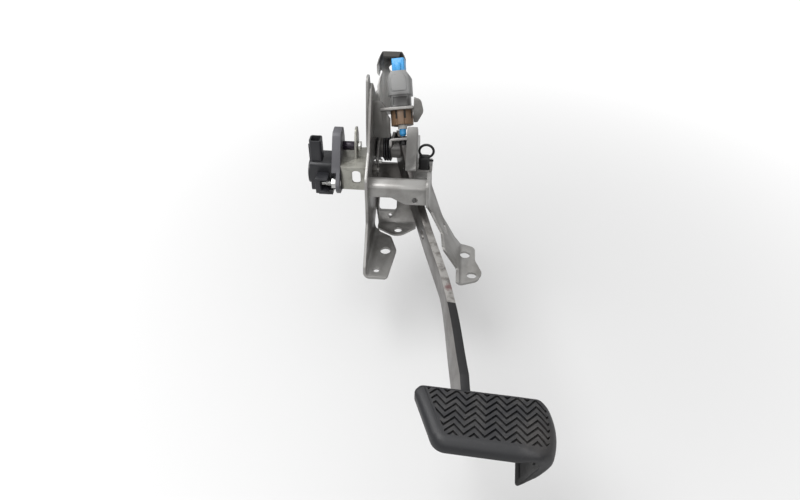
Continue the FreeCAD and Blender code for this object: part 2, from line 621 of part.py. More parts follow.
def place_pad(obj):
    obj.Placement = Placement(Vector(), Rotation(Vector(0, 0, -1), 4))
    bind(obj, "Placement.Rotation.Angle", "pad_turn * 1 deg")
    return put(obj, "pad_x", "-pad_y", "pad_z")


lip = "(pad_rubber + 4.5)"
tread = block("tread", "XZ", "-pad_width", "2 * pad_width", [
    (-60, 0), (roll_x, 0), (roll_x, "-pad_roll + 31"), (28, "-pad_roll"), (24.5, "-pad_roll + 3"),
    ("%s - 11" % roll_x, "-" + lip), (-60, "-" + lip)],
    [(9, [1, 2]), (2.2, [3, 4]), (4, [5])])
tread_plan = block("tread_plan", "XY", "-pad_roll - 2", "pad_roll + 4", [
    (-49, "pad_width / 2"), (-57, "pad_width / 2 - 8"), (-36, "-pad_width / 2"), (46, "-pad_width / 2"),
    ("%s + 0.5" % roll_x, "-pad_width / 2 + 9"), ("%s + 0.5" % roll_x, "pad_width / 2 - 9"),
    (46, "pad_width / 2")],
    [(5, [0, 1]), (9, [2]), (8, [3, 4, 5, 6])])
cavity = block("cavity", "XY", "-%s - 1" % lip, "%s + 1 - pad_rubber" % lip, [
    (-46.5, "pad_width / 2 - 4"), (-50, "pad_width / 2 - 8"), (-32.5, "-pad_width / 2 + 5"),
    ("%s - pad_rubber - 0.5" % roll_x, "-pad_width / 2 + 5"),
    ("%s - pad_rubber - 0.5" % roll_x, "pad_width / 2 - 4")])
notch = box("notch", -27, -8, "pad_width / 2 - 9", "pad_width / 2 + 5", "-%s - 1" % lip, "-pad_rubber")
zig = []
for i in range(13):
    zig.append(("(%d - 6) * groove_period / 2" % i, "groove_period / 2 * %d - groove_pitch / 6" % (i % 2)))
for i in range(12, -1, -1):
    zig.append(("(%d - 6) * groove_period / 2" % i, "groove_period / 2 * %d + groove_pitch / 6" % (i % 2)))
zigzag = new_body("zigzag")
zig_sketch = new_sketch(zigzag, "XY", "-groove_depth")
loop(zig_sketch, zig)
zig_pad = pad(zigzag, zig_sketch, "groove_depth + 1")
for sign in (0, 1):
    p = zigzag.newObject("PartDesign::LinearPattern", "zig_rows")
    p.Originals = [zig_pad]
    p.Direction = (zig_sketch, ["V_Axis"])
    p.Reversed = bool(sign)
    p.Occurrences = 6
    bind(p, "Length", "groove_pitch * 5")
    zigzag.Tip = p
tread_top = "3 * groove_pitch + groove_period / 4 - 1.5"
tread_low = "-4 * groove_pitch + groove_period / 4"
tread_field = block("tread_field", "XY", -5, 8, [
    (-46, "%s" % tread_top), (-27, "%s" % tread_low), ("groove_period * 2.75", "%s" % tread_low),
    ("groove_period * 2.75", "%s" % tread_top)])
grooves = common("grooves", zigzag, tread_field)
tread_cut = fuse("tread_cut", cavity, notch, grooves)
node("pad_rubber", place_pad(cut("pad_cover", common("pad_blank", tread, tread_plan), tread_cut)))
plate_profile = block("plate_profile", "XZ", "-pad_width", "2 * pad_width", [
    (-60, "-pad_rubber"), ("%s - 16" % roll_x, "-pad_rubber"), ("%s - 16" % roll_x, -18),
    ("%s - 16 - pad_steel" % roll_x, -18), ("%s - 16 - pad_steel" % roll_x, "-pad_rubber - pad_steel"),
    (-60, "-pad_rubber - pad_steel")],
    [("pad_steel + 3", [1]), (3, [4])])
plate_plan = block("plate_plan", "XY", -60, 80, [
    (-46.5, "pad_width / 2 - 4"), (-50, "pad_width / 2 - 8"), (-32.5, "-pad_width / 2 + 5"),
    (60, "-pad_width / 2 + 5"), (60, "pad_width / 2 - 4")])
node("pad_plate", place_pad(common("pad_plate", plate_profile, plate_plan)))

# Stroke sensor: plated cradle on the left plate, flange, housing and slotted lever.
cradle_plan = block("cradle_plan", "XY", 46, 42, [
    ("-left_face", 72), ("-left_face", 29), ("-sensor_face + sheet", 29), ("-sensor_face + sheet", 68),
    ("-sensor_face + sheet + 2", 68), ("-sensor_face + sheet + 2", 31), ("-left_face - 2", 31),
    ("-left_face - 2", 72)],
    [(3.5, [1, 2]), (1.5, [5, 6])])
cradle_side = block("cradle_side", "YZ", "-sensor_face - 5", "sensor_face", [
    (27, 62), (36, 56), (60, 57), (74, 66), (74, 88), (27, 88)],
    [(6, [0, 1, 2, 3])],
    [(screw_y, screw_low, 6.2), (screw_y, screw_high, 6.2)])
cradle_front = block("cradle_front", "XZ", -90, 90, [
    ("-sensor_face", 40), ("-left_face + 1", 40), ("-left_face + 1", 110), ("-sensor_face", 110)],
    [(3.5, [4, 5, 6, 7])], [],
    [[("-left_face - 18", 69), ("-left_face - 9", 69), ("-left_face - 9", 84), ("-left_face - 18", 84)]])
lid = block("cradle_lid", "XY", 86, 2, [
    ("-left_face", 30), ("-left_face", 72), ("-sensor_face + sheet", 68), ("-sensor_face + sheet", 30)],
    [(4, [0, 1, 2, 3])])
fin = block("cradle_fin", "YZ", "-left_face - 17", 2, [
    (46, 87), (69, 87), (71, 104), (66, 117), (55, 118), (49, 106)],
    [(5, [2, 3, 4, 5])],
    [(58, 97, 6.1)])
bearing = rod("bearing", "x", 16, 12, "-sensor_face - 2", "sensor_y", "sensor_z")
cradle = fuse("cradle_solid", common("cradle_blank", cradle_plan, cradle_side, cradle_front), lid, fin)
stud_y = "27"
stud_z = "69"
node("sensor_cradle", cut("sensor_cradle", cradle, bearing, pin_window))
flange_x = "-sensor_face - 9 + sheet"
flange_blank = block("flange_blank", "YZ", flange_x, 9, [
    (48, 117), (66, 117), (70, 102), (64, 60), (48, 53), (24, 58), (16, 68), (30, 86), (40, 104)],
    [(8, [0, 1, 2, 3, 4, 5, 6, 7])],
    [("sensor_y", "sensor_z", 8.1), (58, 97, 6), (stud_y, stud_z, 6)])
flange_step = block("flange_step", "YZ", "%s - 1" % flange_x, 6, [
    (0, 40), (35, 40), (35, 74), (30, 80), (0, 95)])
node("sensor_flange", cut("sensor_flange", flange_blank, flange_step))
node("sensor_stud", rod("sensor_stud", "x", 6, 20, "%s - 11" % flange_x, stud_y, stud_z))
stud_nut = hexagon("stud_nut", "x", 10, 5, flange_x, stud_y, stud_z)
node("sensor_nut", cut("sensor_nut", stud_nut, rod("stud_nut_bore", "x", 6, 5, flange_x, stud_y, stud_z)))
node("sensor_spacer", tube("sensor_spacer", "x", 9.5, 6.1, "sensor_face - left_face - 17 - sheet",
                           "-sensor_face + sheet", 58, 97))
bolt_a = hexagon("sensor_bolt_head", "x", 10, 4, "-left_face - 15", 58, 97)
bolt_b = rod("sensor_bolt_shank", "x", 6, "sensor_face - left_face - 15 - sheet + 8",
             "-sensor_face + sheet - 8", 58, 97)
node("sensor_bolt", fuse("sensor_bolt", bolt_a, bolt_b))

case_side = block("sensor_case", "YZ", "%s - 24" % flange_x, 24, [
    (34, 53), (60, 53), (64, 62), (64, 88), (34, 88)],
    [(4, [0, 1, 2, 3, 4])])
boss = rod("sensor_boss", "x", 26, 4, "%s - 27" % flange_x, "sensor_y + 5", "sensor_z")
foot = block("sensor_foot", "YZ", "%s - 15" % flange_x, 15, [
    (26, 54), (44, 54), (44, 64), (34, 62), (26, 60)],
    [(2, [0, 4])])
shroud = block("sensor_shroud", "XY", 84, 28, [
    ("%s - 23.5" % flange_x, 38), ("%s - 11" % flange_x, 38), ("%s - 11" % flange_x, 51),
    ("%s - 23.5" % flange_x, 51)],
    [(2.5, [0, 1, 2, 3])])
rib = box("sensor_rib", "%s - 25.5" % flange_x, "%s - 22.5" % flange_x, 43.5, 45.5, 80, 105)
well = block("sensor_well", "XY", 94, 28, [
    ("%s - 22" % flange_x, 39.5), ("%s - 12.5" % flange_x, 39.5), ("%s - 12.5" % flange_x, 49.5),
    ("%s - 22" % flange_x, 49.5)],
    [(1.5, [0, 1, 2, 3])])
rotor_well = rod("rotor_well", "x", 8.1, 10, "%s - 8" % flange_x, "sensor_y", "sensor_z")
sensor_solid = fuse("sensor_solid", case_side, boss, foot, shroud, rib)
node("sensor_housing", cut("sensor_housing", sensor_solid, well, rotor_well))
pins = []
for i in range(4):
    y = 41.3 + 2.15 * i
    pins.append(box("sensor_blade", "%s - 17.8" % flange_x, "%s - 16.7" % flange_x,
                    y - 0.35, y + 0.35, 94, 104))
node("sensor_terminals", fuse("sensor_terminals", *pins))

lever_turn = "atan2((%s) - sensor_z; (%s) - sensor_y)" % (pin_z, pin_y)
lever_x = "-sensor_face + sheet + 4.5"
reach = "(pivot_y - sensor_y) / cos(%s) - crank" % mid_turn


def lv(r, w):
    # Point of the side view given along and across the resting lever.
    return ("sensor_y + (%s) * cos(%s) - (%s) * sin(%s)" % (r, lever_turn, w, lever_turn),
            "sensor_z + (%s) * sin(%s) + (%s) * cos(%s)" % (r, lever_turn, w, lever_turn))


half_slot = "(sensor_pin / 2 + 0.25)"
lever_blade = block("lever_blade", "YZ", lever_x, "lever_thick", [
    lv(-6, -7), lv(6, -6.5), lv("%s + 7" % reach, -6), lv("%s + 7" % reach, 6), lv(6, 6.5), lv(-6, 7)],
    [(5.5, [0, 5]), (4, [2, 3])], [],
    [[lv("%s - 3.4" % reach, "-" + half_slot), lv("%s + 4" % reach, "-" + half_slot),
      lv("%s + 4" % reach, half_slot), lv("%s - 3.4" % reach, half_slot)]])
lever_boss = rod("lever_boss", "x", 14, 2.4, "%s - 2" % lever_x, "sensor_y", "sensor_z")
lever_shaft = rod("lever_shaft", "x", 8, 20, "%s - 20" % lever_x, "sensor_y", "sensor_z")
node("sensor_lever", fuse("sensor_lever", lever_blade, lever_boss, lever_shaft))

screws = []
nuts = []
for z in (screw_low, screw_high):
    screws.append(hexagon("cradle_screw_head", "x", 10, 4, "-left_face - 6", screw_y, z))
    screws.append(rod("cradle_screw_shank", "x", 6, 12, "-left_face - 2", screw_y, z))
    body = hexagon("weld_nut_body", "x", 10, 5, "-left_face + sheet", screw_y, z)
    nuts.append(cut("weld_nut", body, rod("weld_nut_bore", "x", 6, 5, "-left_face + sheet", screw_y, z)))
node("cradle_screws", fuse("cradle_screws", *screws))
node("cradle_weld_nuts", fuse("cradle_weld_nuts", *nuts))

# Harness clip pushed into the tab on the right plate.
clip_x = "right_face - 7.2"
clip_head = block("clip_head", "XY", 81.4, 13, [
    ("%s - 5.6" % clip_x, 41), ("%s + 5.6" % clip_x, 41), ("%s + 5.6" % clip_x, 51),
    ("%s - 5.6" % clip_x, 51)],
    [(2.5, [0, 1, 2, 3])])
clip_loop = doc.addObject("Part::Torus", "clip_loop")
clip_loop.Placement = Placement(Vector(), Rotation(Vector(1, 0, 0), 90))
bind(clip_loop, "Radius1", 7.4)
bind(clip_loop, "Radius2", 1.3)
put(clip_loop, "%s + 2" % clip_x, 46, 101.4)
prong_a = box("clip_prong", "%s + 5" % clip_x, "%s + 9.5" % clip_x, 43.5, 45, 91, 92.4)
prong_b = box("clip_prong", "%s + 5" % clip_x, "%s + 9.5" % clip_x, 47, 48.5, 88.4, 89.8)
node("harness_clip", fuse("harness_clip", clip_head, clip_loop, prong_a, prong_b))

doc.recompute()

# Every object must have built, and every piece must be one or more sound solids.
bad = []
for obj in doc.Objects:
    if "Invalid" in obj.State or "Error" in obj.State:
        bad.append(obj.Name)
for name, obj in nodes.items():
    if obj.Shape.isNull() or not obj.Shape.isValid() or obj.Shape.Volume < 1:
        bad.append(name)
if bad:
    raise RuntimeError("not built: " + ", ".join(bad))

os.makedirs("parts", exist_ok=True)
for name, obj in nodes.items():
    obj.Shape.exportStep("parts/%s.step" % name)
    print("%-18s %9.1f mm3" % (name, obj.Shape.Volume))
print(len(nodes), "pieces")
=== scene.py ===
import json
import math
import bmesh
import bpy
from mathutils import Matrix, Vector


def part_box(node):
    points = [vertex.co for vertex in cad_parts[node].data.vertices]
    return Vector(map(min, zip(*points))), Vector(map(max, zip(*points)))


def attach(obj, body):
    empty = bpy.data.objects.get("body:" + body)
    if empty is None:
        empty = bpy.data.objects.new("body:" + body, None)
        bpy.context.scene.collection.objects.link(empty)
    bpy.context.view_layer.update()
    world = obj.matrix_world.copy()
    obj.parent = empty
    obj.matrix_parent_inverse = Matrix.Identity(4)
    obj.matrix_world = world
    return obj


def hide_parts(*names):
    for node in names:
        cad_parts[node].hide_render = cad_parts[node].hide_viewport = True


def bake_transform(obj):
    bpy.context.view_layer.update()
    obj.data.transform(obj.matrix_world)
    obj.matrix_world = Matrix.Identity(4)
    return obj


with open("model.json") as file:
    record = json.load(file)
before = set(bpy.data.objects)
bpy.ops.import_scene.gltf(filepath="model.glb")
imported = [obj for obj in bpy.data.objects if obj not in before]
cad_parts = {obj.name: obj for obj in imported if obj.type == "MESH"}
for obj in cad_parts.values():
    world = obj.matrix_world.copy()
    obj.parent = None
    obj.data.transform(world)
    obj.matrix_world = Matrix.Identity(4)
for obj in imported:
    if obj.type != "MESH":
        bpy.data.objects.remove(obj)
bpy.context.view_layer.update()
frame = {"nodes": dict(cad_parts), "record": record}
nodes = frame["nodes"]
slotOfNode = {p["node"]: p["material_slot"] for p in frame["record"]["subparts"]}
bodyOfNode = {n: b for b, names in frame["record"]["behaviour"]["bodies"].items() for n in names}
millimetre = 0.001
scene = bpy.context.scene
scene.view_settings.view_transform = "Standard"
print("frame loaded:", len(nodes), "nodes")


# Nodes, for shaders and for geometry

def addNode(tree, kind, **settings):
    made = tree.nodes.new(kind)
    for key, value in settings.items():
        setattr(made, key, value)
    return made


def feed(tree, value, socket):
    # A socket is linked, a plain value is set.
    if isinstance(value, bpy.types.NodeSocket):
        tree.links.new(value, socket)
    else:
        socket.default_value = value


def maths(tree, operation, a, b=0.0, clamp=False):
    made = addNode(tree, "ShaderNodeMath", operation=operation, use_clamp=clamp)
    for socket, value in zip(made.inputs, (a, b)):
        feed(tree, value, socket)
    return made.outputs["Value"]


def sums(tree, operation, a, b):
    # Masks stay between 0 and 1.
    return maths(tree, operation, a, b, operation in ("MULTIPLY", "ADD"))


def along(tree, **parts):
    # Vector with the parts given, the others nought.
    made = addNode(tree, "ShaderNodeCombineXYZ")
    for axis, value in parts.items():
        feed(tree, value, made.inputs[axis])
    return made.outputs[0]


def noiseAt(tree, vector, scale, detail, roughness=0.55):
    made = addNode(tree, "ShaderNodeTexNoise")
    for label, value in (("Vector", vector), ("Scale", scale), ("Detail", detail), ("Roughness", roughness)):
        feed(tree, value, made.inputs[label])
    return made.outputs["Fac"]


def ramp(tree, value, low, high, outLow=0.0, outHigh=1.0):
    made = addNode(tree, "ShaderNodeMapRange", interpolation_type="SMOOTHSTEP")
    tree.links.new(value, made.inputs["Value"])
    for label, number in (("From Min", low), ("From Max", high), ("To Min", outLow), ("To Max", outHigh)):
        feed(tree, number, made.inputs[label])
    return made.outputs["Result"]


def mixed(tree, factor, a, b):
    made = addNode(tree, "ShaderNodeMix", data_type="RGBA")
    for index, value in ((0, factor), (6, a), (7, b)):  # the colour sockets of a mix node
        feed(tree, value, made.inputs[index])
    return made.outputs[2]


def laid(tree, mask, share, below, colour):
    # A colour over what lies below, where the mask lets it.
    return mixed(tree, sums(tree, "MULTIPLY", mask, share), below, (*colour, 1.0))


# Shader groups shared by the finishes

bands = {  # where each effect fades in
    "wearTurn": (0.15, 0.75), "wearAndHighlightPatch": (0.38, 0.62), "stain": (0.42, 0.72), "speck": (0.60, 0.72),
    "spot": (-0.25, 0.5), "slot": (0.10, 0.16),
}
plainLook = {  # what a finish has unless its own look says otherwise
    "metallic": 0.0, "specular": 0.5, "roughness": 0.5, "roughSpread": 0.12,
    "bump": 0.15, "bumpDepth": 0.0002, "grainScale": 2500.0,
    "stain": 0.4, "stainScale": 22.0, "stainTone": 0.6, "speck": 0.15, "speckScale": 900.0, "speckTone": 0.45,
    # edge colour on sharp turns: partly real rubbed edges, partly painted edge highlight
    "wear": 0.5, "wearAndHighlightScale": 90.0, "wearAndHighlightTone": 1.7, "wearAndHighlightLift": 0.05,
    "marksAndShade": [], "ragged": 60.0, "radius": 0.01,
}
switchPlace = {"origin": (-28.0, 52.0, 114.0), "lean": -7.8, "tilt": -36.0}  # axis of the stop-lamp switch
slotMake = {"count": 8.0, "low": 0.0175, "high": 0.0262}  # the adjuster's slots, low and high on that axis


def newGroup(name, inputs, outputs):
    group = bpy.data.node_groups.new(name, "ShaderNodeTree")
    for label, value in inputs.items():
        kind = "NodeSocketVector" if isinstance(value, tuple) else "NodeSocketFloat"
        group.interface.new_socket(name=label, in_out="INPUT", socket_type=kind).default_value = value
    for label in outputs:
        group.interface.new_socket(name=label, in_out="OUTPUT", socket_type="NodeSocketFloat")
    place = addNode(group, "ShaderNodeTexCoord").outputs["Object"]
    return group, group.nodes.new("NodeGroupInput"), group.nodes.new("NodeGroupOutput"), place


def makeEdgeWearAndHighlight():
    # Lighter edges sit where the mesh turns sharply and where patchy noise lets them: partly real rubbed metal,
    # partly painted highlight along the edges.
    group, put, out, place = newGroup("edgeWearAndHighlight", {
        "Amount": plainLook["wear"], "Patch Scale": plainLook["wearAndHighlightScale"]}, ["Mask"])
    edge = addNode(group, "ShaderNodeAttribute", attribute_name="edgeTurn").outputs["Fac"]
    patch = noiseAt(group, place, put.outputs["Patch Scale"], 5.0)
    rubbed = ramp(group, patch, *bands["wearAndHighlightPatch"])
    wornAndHighlit = sums(group, "MULTIPLY", ramp(group, edge, *bands["wearTurn"]), rubbed)
    group.links.new(sums(group, "MULTIPLY", wornAndHighlit, put.outputs["Amount"]), out.inputs["Mask"])
    return group


def makeGrime():
    # Broad stains and fine specks, kept apart so that a finish can weigh them.
    group, put, out, place = newGroup("grime", {
        "Stain Scale": plainLook["stainScale"], "Speck Scale": plainLook["speckScale"]}, ["Stain", "Speck"])
    stain = noiseAt(group, place, put.outputs["Stain Scale"], 6.0, 0.6)
    speck = noiseAt(group, place, put.outputs["Speck Scale"], 2.0)
    group.links.new(ramp(group, stain, *bands["stain"]), out.inputs["Stain"])
    group.links.new(ramp(group, speck, *bands["speck"]), out.inputs["Speck"])
    return group


def makeGrain():
    # Height for a fine moulded or blasted surface.
    group, put, out, place = newGroup("grain", {"Scale": plainLook["grainScale"]}, ["Height"])
    group.links.new(noiseAt(group, place, put.outputs["Scale"], 3.0), out.inputs["Height"])
    return group


def makeSpot():
    # A ragged patch round one place on the object; the finishes lay real paint dabs and dust with it, and
    # painted shade.
    group, put, out, place = newGroup("spot", {
        "Place": (0, 0, 0), "Radius": plainLook["radius"], "Ragged": plainLook["ragged"]}, ["Mask"])
    apart = addNode(group, "ShaderNodeVectorMath", operation="DISTANCE")
    group.links.new(place, apart.inputs[0])
    group.links.new(put.outputs["Place"], apart.inputs[1])
    share = sums(group, "DIVIDE", apart.outputs["Value"], put.outputs["Radius"])
    torn = sums(group, "SUBTRACT", share, noiseAt(group, place, put.outputs["Ragged"], 5.0))
    group.links.new(ramp(group, torn, *bands["spot"], 1.0, 0.0), out.inputs["Mask"])
    return group


def makeSlots():
    # Painted shade in the slots round the adjuster, counted by angle about the switch axis.
    group, put, out, place = newGroup("slots", {
        "Count": slotMake["count"], "Low": slotMake["low"], "High": slotMake["high"]}, ["Mask"])
    moved = addNode(group, "ShaderNodeVectorMath", operation="SUBTRACT")
    group.links.new(place, moved.inputs[0])
    moved.inputs[1].default_value = [c * millimetre for c in switchPlace["origin"]]
    point = moved.outputs["Vector"]
    for axis, angle in (("Y_AXIS", switchPlace["lean"]), ("X_AXIS", switchPlace["tilt"])):
        turn = addNode(group, "ShaderNodeVectorRotate", rotation_type=axis)
        turn.inputs["Angle"].default_value = math.radians(-angle)
        group.links.new(point, turn.inputs["Vector"])
        point = turn.outputs["Vector"]
    apart = addNode(group, "ShaderNodeSeparateXYZ")
    group.links.new(point, apart.inputs[0])
    around = maths(group, "ARCTAN2", apart.outputs["Y"], apart.outputs["X"])
    turns = maths(group, "DIVIDE", around, maths(group, "DIVIDE", 2 * math.pi, put.outputs["Count"]))
    share = maths(group, "ABSOLUTE", maths(group, "SUBTRACT", maths(group, "FRACT", turns), 0.5))
    line = ramp(group, share, *bands["slot"], 1.0, 0.0)
    span = sums(group, "MULTIPLY", maths(group, "GREATER_THAN", apart.outputs["Z"], put.outputs["Low"]),
                maths(group, "LESS_THAN", apart.outputs["Z"], put.outputs["High"]))
    group.links.new(sums(group, "MULTIPLY", line, span), out.inputs["Mask"])
    return group


edgeWearAndHighlight = makeEdgeWearAndHighlight()
spot = makeSpot()
slots = makeSlots()
grime = makeGrime()
grain = makeGrain()


def groupNode(tree, group, **values):
    made = addNode(tree, "ShaderNodeGroup", node_tree=group)
    for label, value in values.items():
        made.inputs[label.replace("_", " ")].default_value = value
    return made


def toned(colour, gain, lift=0.0):
    return [min(1, c * gain + lift) for c in colour]


def finishMaterial(name, given):
    look = {**plainLook, **given}
    colour = look["colour"]
    stainColour = look.get("stainColour", toned(colour, look["stainTone"]))
    speckColour = look.get("speckColour", toned(colour, look["speckTone"]))
    wearAndHighlightColour = look.get("wearAndHighlightColour", toned(colour, look["wearAndHighlightTone"], look["wearAndHighlightLift"]))
    material = bpy.data.materials.new(name)
    material.use_nodes = True
    tree = material.node_tree
    shader = tree.nodes["Principled BSDF"]
    shader.inputs["Metallic"].default_value = look["metallic"]
    shader.inputs["Specular IOR Level"].default_value = look["specular"]
    dirt = groupNode(tree, grime, Stain_Scale=look["stainScale"], Speck_Scale=look["speckScale"])
    wear = groupNode(tree, edgeWearAndHighlight, Amount=look["wear"], Patch_Scale=look["wearAndHighlightScale"])
    shown = laid(tree, dirt.outputs["Stain"], look["stain"], (*colour, 1.0), stainColour)
    shown = laid(tree, dirt.outputs["Speck"], look["speck"], shown, speckColour)
    # edges: partly rubbed metal, partly painted highlight
    shown = mixed(tree, wear.outputs["Mask"], shown, (*wearAndHighlightColour, 1.0))
    # patches: real paint dabs and dust, and painted shade in hollows and between parts
    for markOrShade in look["marksAndShade"]:
        ragged = markOrShade.get("ragged", look["ragged"])
        patch = groupNode(tree, spot, Place=markOrShade["place"], Radius=markOrShade["radius"], Ragged=ragged)
        shown = laid(tree, patch.outputs["Mask"], markOrShade["amount"], shown, markOrShade["colour"])
    # painted shade in the adjuster's slots
    if "slotShadeColour" in look:
        shown = mixed(tree, groupNode(tree, slots).outputs["Mask"], shown, (*look["slotShadeColour"], 1.0))
    tree.links.new(shown, shader.inputs["Base Color"])
    rough, spread = look["roughness"], look["roughSpread"] * 0.5
    rubbed = ramp(tree, dirt.outputs["Stain"], 0.0, 1.0, rough - spread, rough + spread)
    tree.links.new(rubbed, shader.inputs["Roughness"])
    bump = addNode(tree, "ShaderNodeBump")
    bump.inputs["Strength"].default_value = look["bump"]
    bump.inputs["Distance"].default_value = look["bumpDepth"]
    height = groupNode(tree, grain, Scale=look["grainScale"]).outputs["Height"]
    tree.links.new(height, bump.inputs["Height"])
    tree.links.new(bump.outputs["Normal"], shader.inputs["Normal"])
    return material


looks = {
    "bracket_steel": {"colour": (0.345, 0.339, 0.328), "metallic": 0.5, "roughness": 0.36, "stain": 0.7,
                      "stainColour": (0.165, 0.157, 0.146), "wear": 1.0, "wearAndHighlightColour": (0.70, 0.69, 0.67),
                      "bump": 0.16,
                      # all four dark patches are painted shade: between the plates below the pivot, on the
                      # set-in upper plate, and low and high on the left plate's inner face
                      "marksAndShade": [{"place": (-0.030, 0.080, 0.045), "radius": 0.052, "amount": 0.8,
                                 "colour": (0.050, 0.042, 0.036)},
                                {"place": (-0.016, 0.035, 0.110), "radius": 0.036, "amount": 0.75,
                                 "colour": (0.085, 0.083, 0.080)},
                                {"place": (-0.059, 0.020, 0.034), "radius": 0.046, "amount": 0.75,
                                 "colour": (0.055, 0.048, 0.042)},
                                {"place": (-0.059, 0.048, 0.125), "radius": 0.045, "amount": 0.45,
                                 "colour": (0.090, 0.080, 0.072)}]},
    "arm_steel": {"colour": (0.240, 0.231, 0.224), "metallic": 0.5, "roughness": 0.38, "stain": 0.6,
                  "stainColour": (0.125, 0.113, 0.107), "wear": 1.0, "wearAndHighlightColour": (0.55, 0.54, 0.52),
                  "bump": 0.16,
                  # painted shade on the arm's upper part, where it runs between the bracket plates
                  "marksAndShade": [{"place": (-0.012, 0.030, 0.055), "radius": 0.062, "amount": 0.85,
                             "colour": (0.040, 0.035, 0.032)}]},
    "black_steel": {"colour": (0.016, 0.016, 0.017), "roughness": 0.45, "wear": 0.35,
                    "wearAndHighlightColour": (0.2, 0.2, 0.2)},
    "galvanised": {"colour": (0.40, 0.395, 0.355), "metallic": 0.55, "roughness": 0.38, "stainScale": 90.0,
                   "stain": 0.8,
                   "stainColour": (0.19, 0.185, 0.155), "speck": 0.5, "speckScale": 420.0,
                   "speckColour": (0.09, 0.085, 0.07),
                   "wear": 1.0, "wearAndHighlightColour": (0.66, 0.65, 0.60), "bump": 0.12},
    "zinc": {"colour": (0.60, 0.60, 0.585), "metallic": 1.0, "roughness": 0.24, "stain": 0.45,
             "stainScale": 120.0, "wear": 0.5},
    "spring_steel": {"colour": (0.08, 0.08, 0.085), "metallic": 0.9, "roughness": 0.36, "stain": 0.4},
    "tinned_brass": {"colour": (0.60, 0.54, 0.38), "metallic": 1.0, "roughness": 0.3},
    "black_nylon": {"colour": (0.012, 0.012, 0.013), "roughness": 0.5, "wear": 0.4,
                    "wearAndHighlightColour": (0.07, 0.07, 0.07)},
    "black_plastic": {"colour": (0.019, 0.0195, 0.0225), "roughness": 0.40, "wear": 0.8,
                      "wearAndHighlightColour": (0.11, 0.112, 0.125),
                      "bump": 0.25, "grainScale": 1800.0},
    "dark_plastic": {"colour": (0.105, 0.104, 0.114), "roughness": 0.48, "wear": 0.4, "bump": 0.2},
    "grey_plastic": {"colour": (0.24, 0.24, 0.238), "roughness": 0.46, "stain": 0.35, "wear": 0.45,
                     "bump": 0.2,
                     # painted shade in the recess low on the switch body's front
                     "marksAndShade": [{"place": (-0.0305, 0.0650, 0.1452), "radius": 0.0145, "amount": 0.95,
                                "ragged": 20.0,
                                "colour": (0.022, 0.020, 0.019)}]},
    "tan_plastic": {"colour": (0.19, 0.115, 0.066), "roughness": 0.45, "stain": 0.6,
                    "stainColour": (0.07, 0.042, 0.026),
                    # painted shade in the adjuster's slots
                    "slotShadeColour": (0.012, 0.009, 0.007)},
    "white_plastic": {"colour": (0.60, 0.59, 0.56), "roughness": 0.45, "stain": 0.3},
    "blue_plastic": {"colour": (0.055, 0.34, 0.70), "roughness": 0.32, "stain": 0.3, "wear": 0.3},
    "rubber": {"colour": (0.0135, 0.0138, 0.0162), "roughness": 0.47, "stain": 0.45,
               "stainColour": (0.022, 0.022, 0.024),
               "speckColour": (0.075, 0.072, 0.068), "wear": 0.6, "wearAndHighlightColour": (0.050, 0.048, 0.047),
               "bump": 0.3,
               # first patch: painted shade inside the rolled-under end, on the lip's upper face; the second is
               # brown dust on the right end
               "marksAndShade": [{"place": (0.088, -0.262, 0.016), "radius": 0.023, "amount": 0.97,
                          "colour": (0.006, 0.006, 0.006)},
                         {"place": (0.097, -0.250, 0.044), "radius": 0.024, "amount": 0.2, "ragged": 400.0,
                          "colour": (0.090, 0.080, 0.070)}]},
}
finishes = {name: finishMaterial(name, look) for name, look in looks.items()}
pieceLooks = {
    # upper support: bracket steel drawn far lighter, as a painted reflection of the pale floor on its web; its
    # edges drawn dark
    "upper_support": {"colour": (0.80, 0.79, 0.77), "metallic": 0.15, "roughness": 0.35, "stain": 0.4,
                      "stainColour": (0.42, 0.41, 0.40), "wear": 1.0, "wearAndHighlightColour": (0.045, 0.042, 0.040),
                      "wearAndHighlightScale": 20.0,
                      # painted shade on the top of the hook
                      "marksAndShade": [{"place": (-0.045, 0.112, 0.179), "radius": 0.036, "amount": 1.0,
                                 "colour": (0.045, 0.042, 0.038)}]},
    "cradle_screws": {"colour": (0.20, 0.195, 0.185), "metallic": 0.8, "roughness": 0.42, "stain": 0.7},
    "cradle_weld_nuts": {"colour": (0.12, 0.115, 0.108), "metallic": 0.7, "roughness": 0.5, "stain": 0.8},
    "sensor_spacer": {"colour": (0.020, 0.014, 0.024), "metallic": 0.3, "roughness": 0.25, "stain": 0.4,
                      "wear": 0.6},
}
pieceFinishes = {node: finishMaterial(node + "_finish", look) for node, look in pieceLooks.items()}
print("finishes made:", len(finishes) + len(pieceFinishes))


# Meshes taken over from the frame, with softened edges

meshCare = {"weld": 2e-6, "flatAngle": 0.6, "segments": 2, "bevelAngle": 38.0, "sharpAngle": 40.0,
            "formAngle": 30.0, "turnFaces": 10, "turnGain": 1.6}


def newObject(name, data):
    made = bpy.data.objects.new(name, data)
    scene.collection.objects.link(made)
    return made


def opened(mesh):
    shape = bmesh.new()
    shape.from_mesh(mesh)
    return shape


def closed(shape, mesh):
    shape.to_mesh(mesh)
    shape.free()
    return mesh


def settle(obj):
    # Turn the modifiers into a plain mesh.
    graph = bpy.context.evaluated_depsgraph_get()
    mesh = bpy.data.meshes.new_from_object(obj.evaluated_get(graph), depsgraph=graph)
    old = obj.data
    obj.modifiers.clear()
    obj.data = mesh
    bpy.data.meshes.remove(old)
    return obj


def bevelled(obj, width, angle, miter="MITER_SHARP"):
    bevel = obj.modifiers.new("soften", "BEVEL")
    bevel.width = width * millimetre
    bevel.segments = meshCare["segments"]
    bevel.limit_method = "ANGLE"
    bevel.angle_limit = math.radians(angle)
    bevel.miter_outer = miter
    return settle(obj)


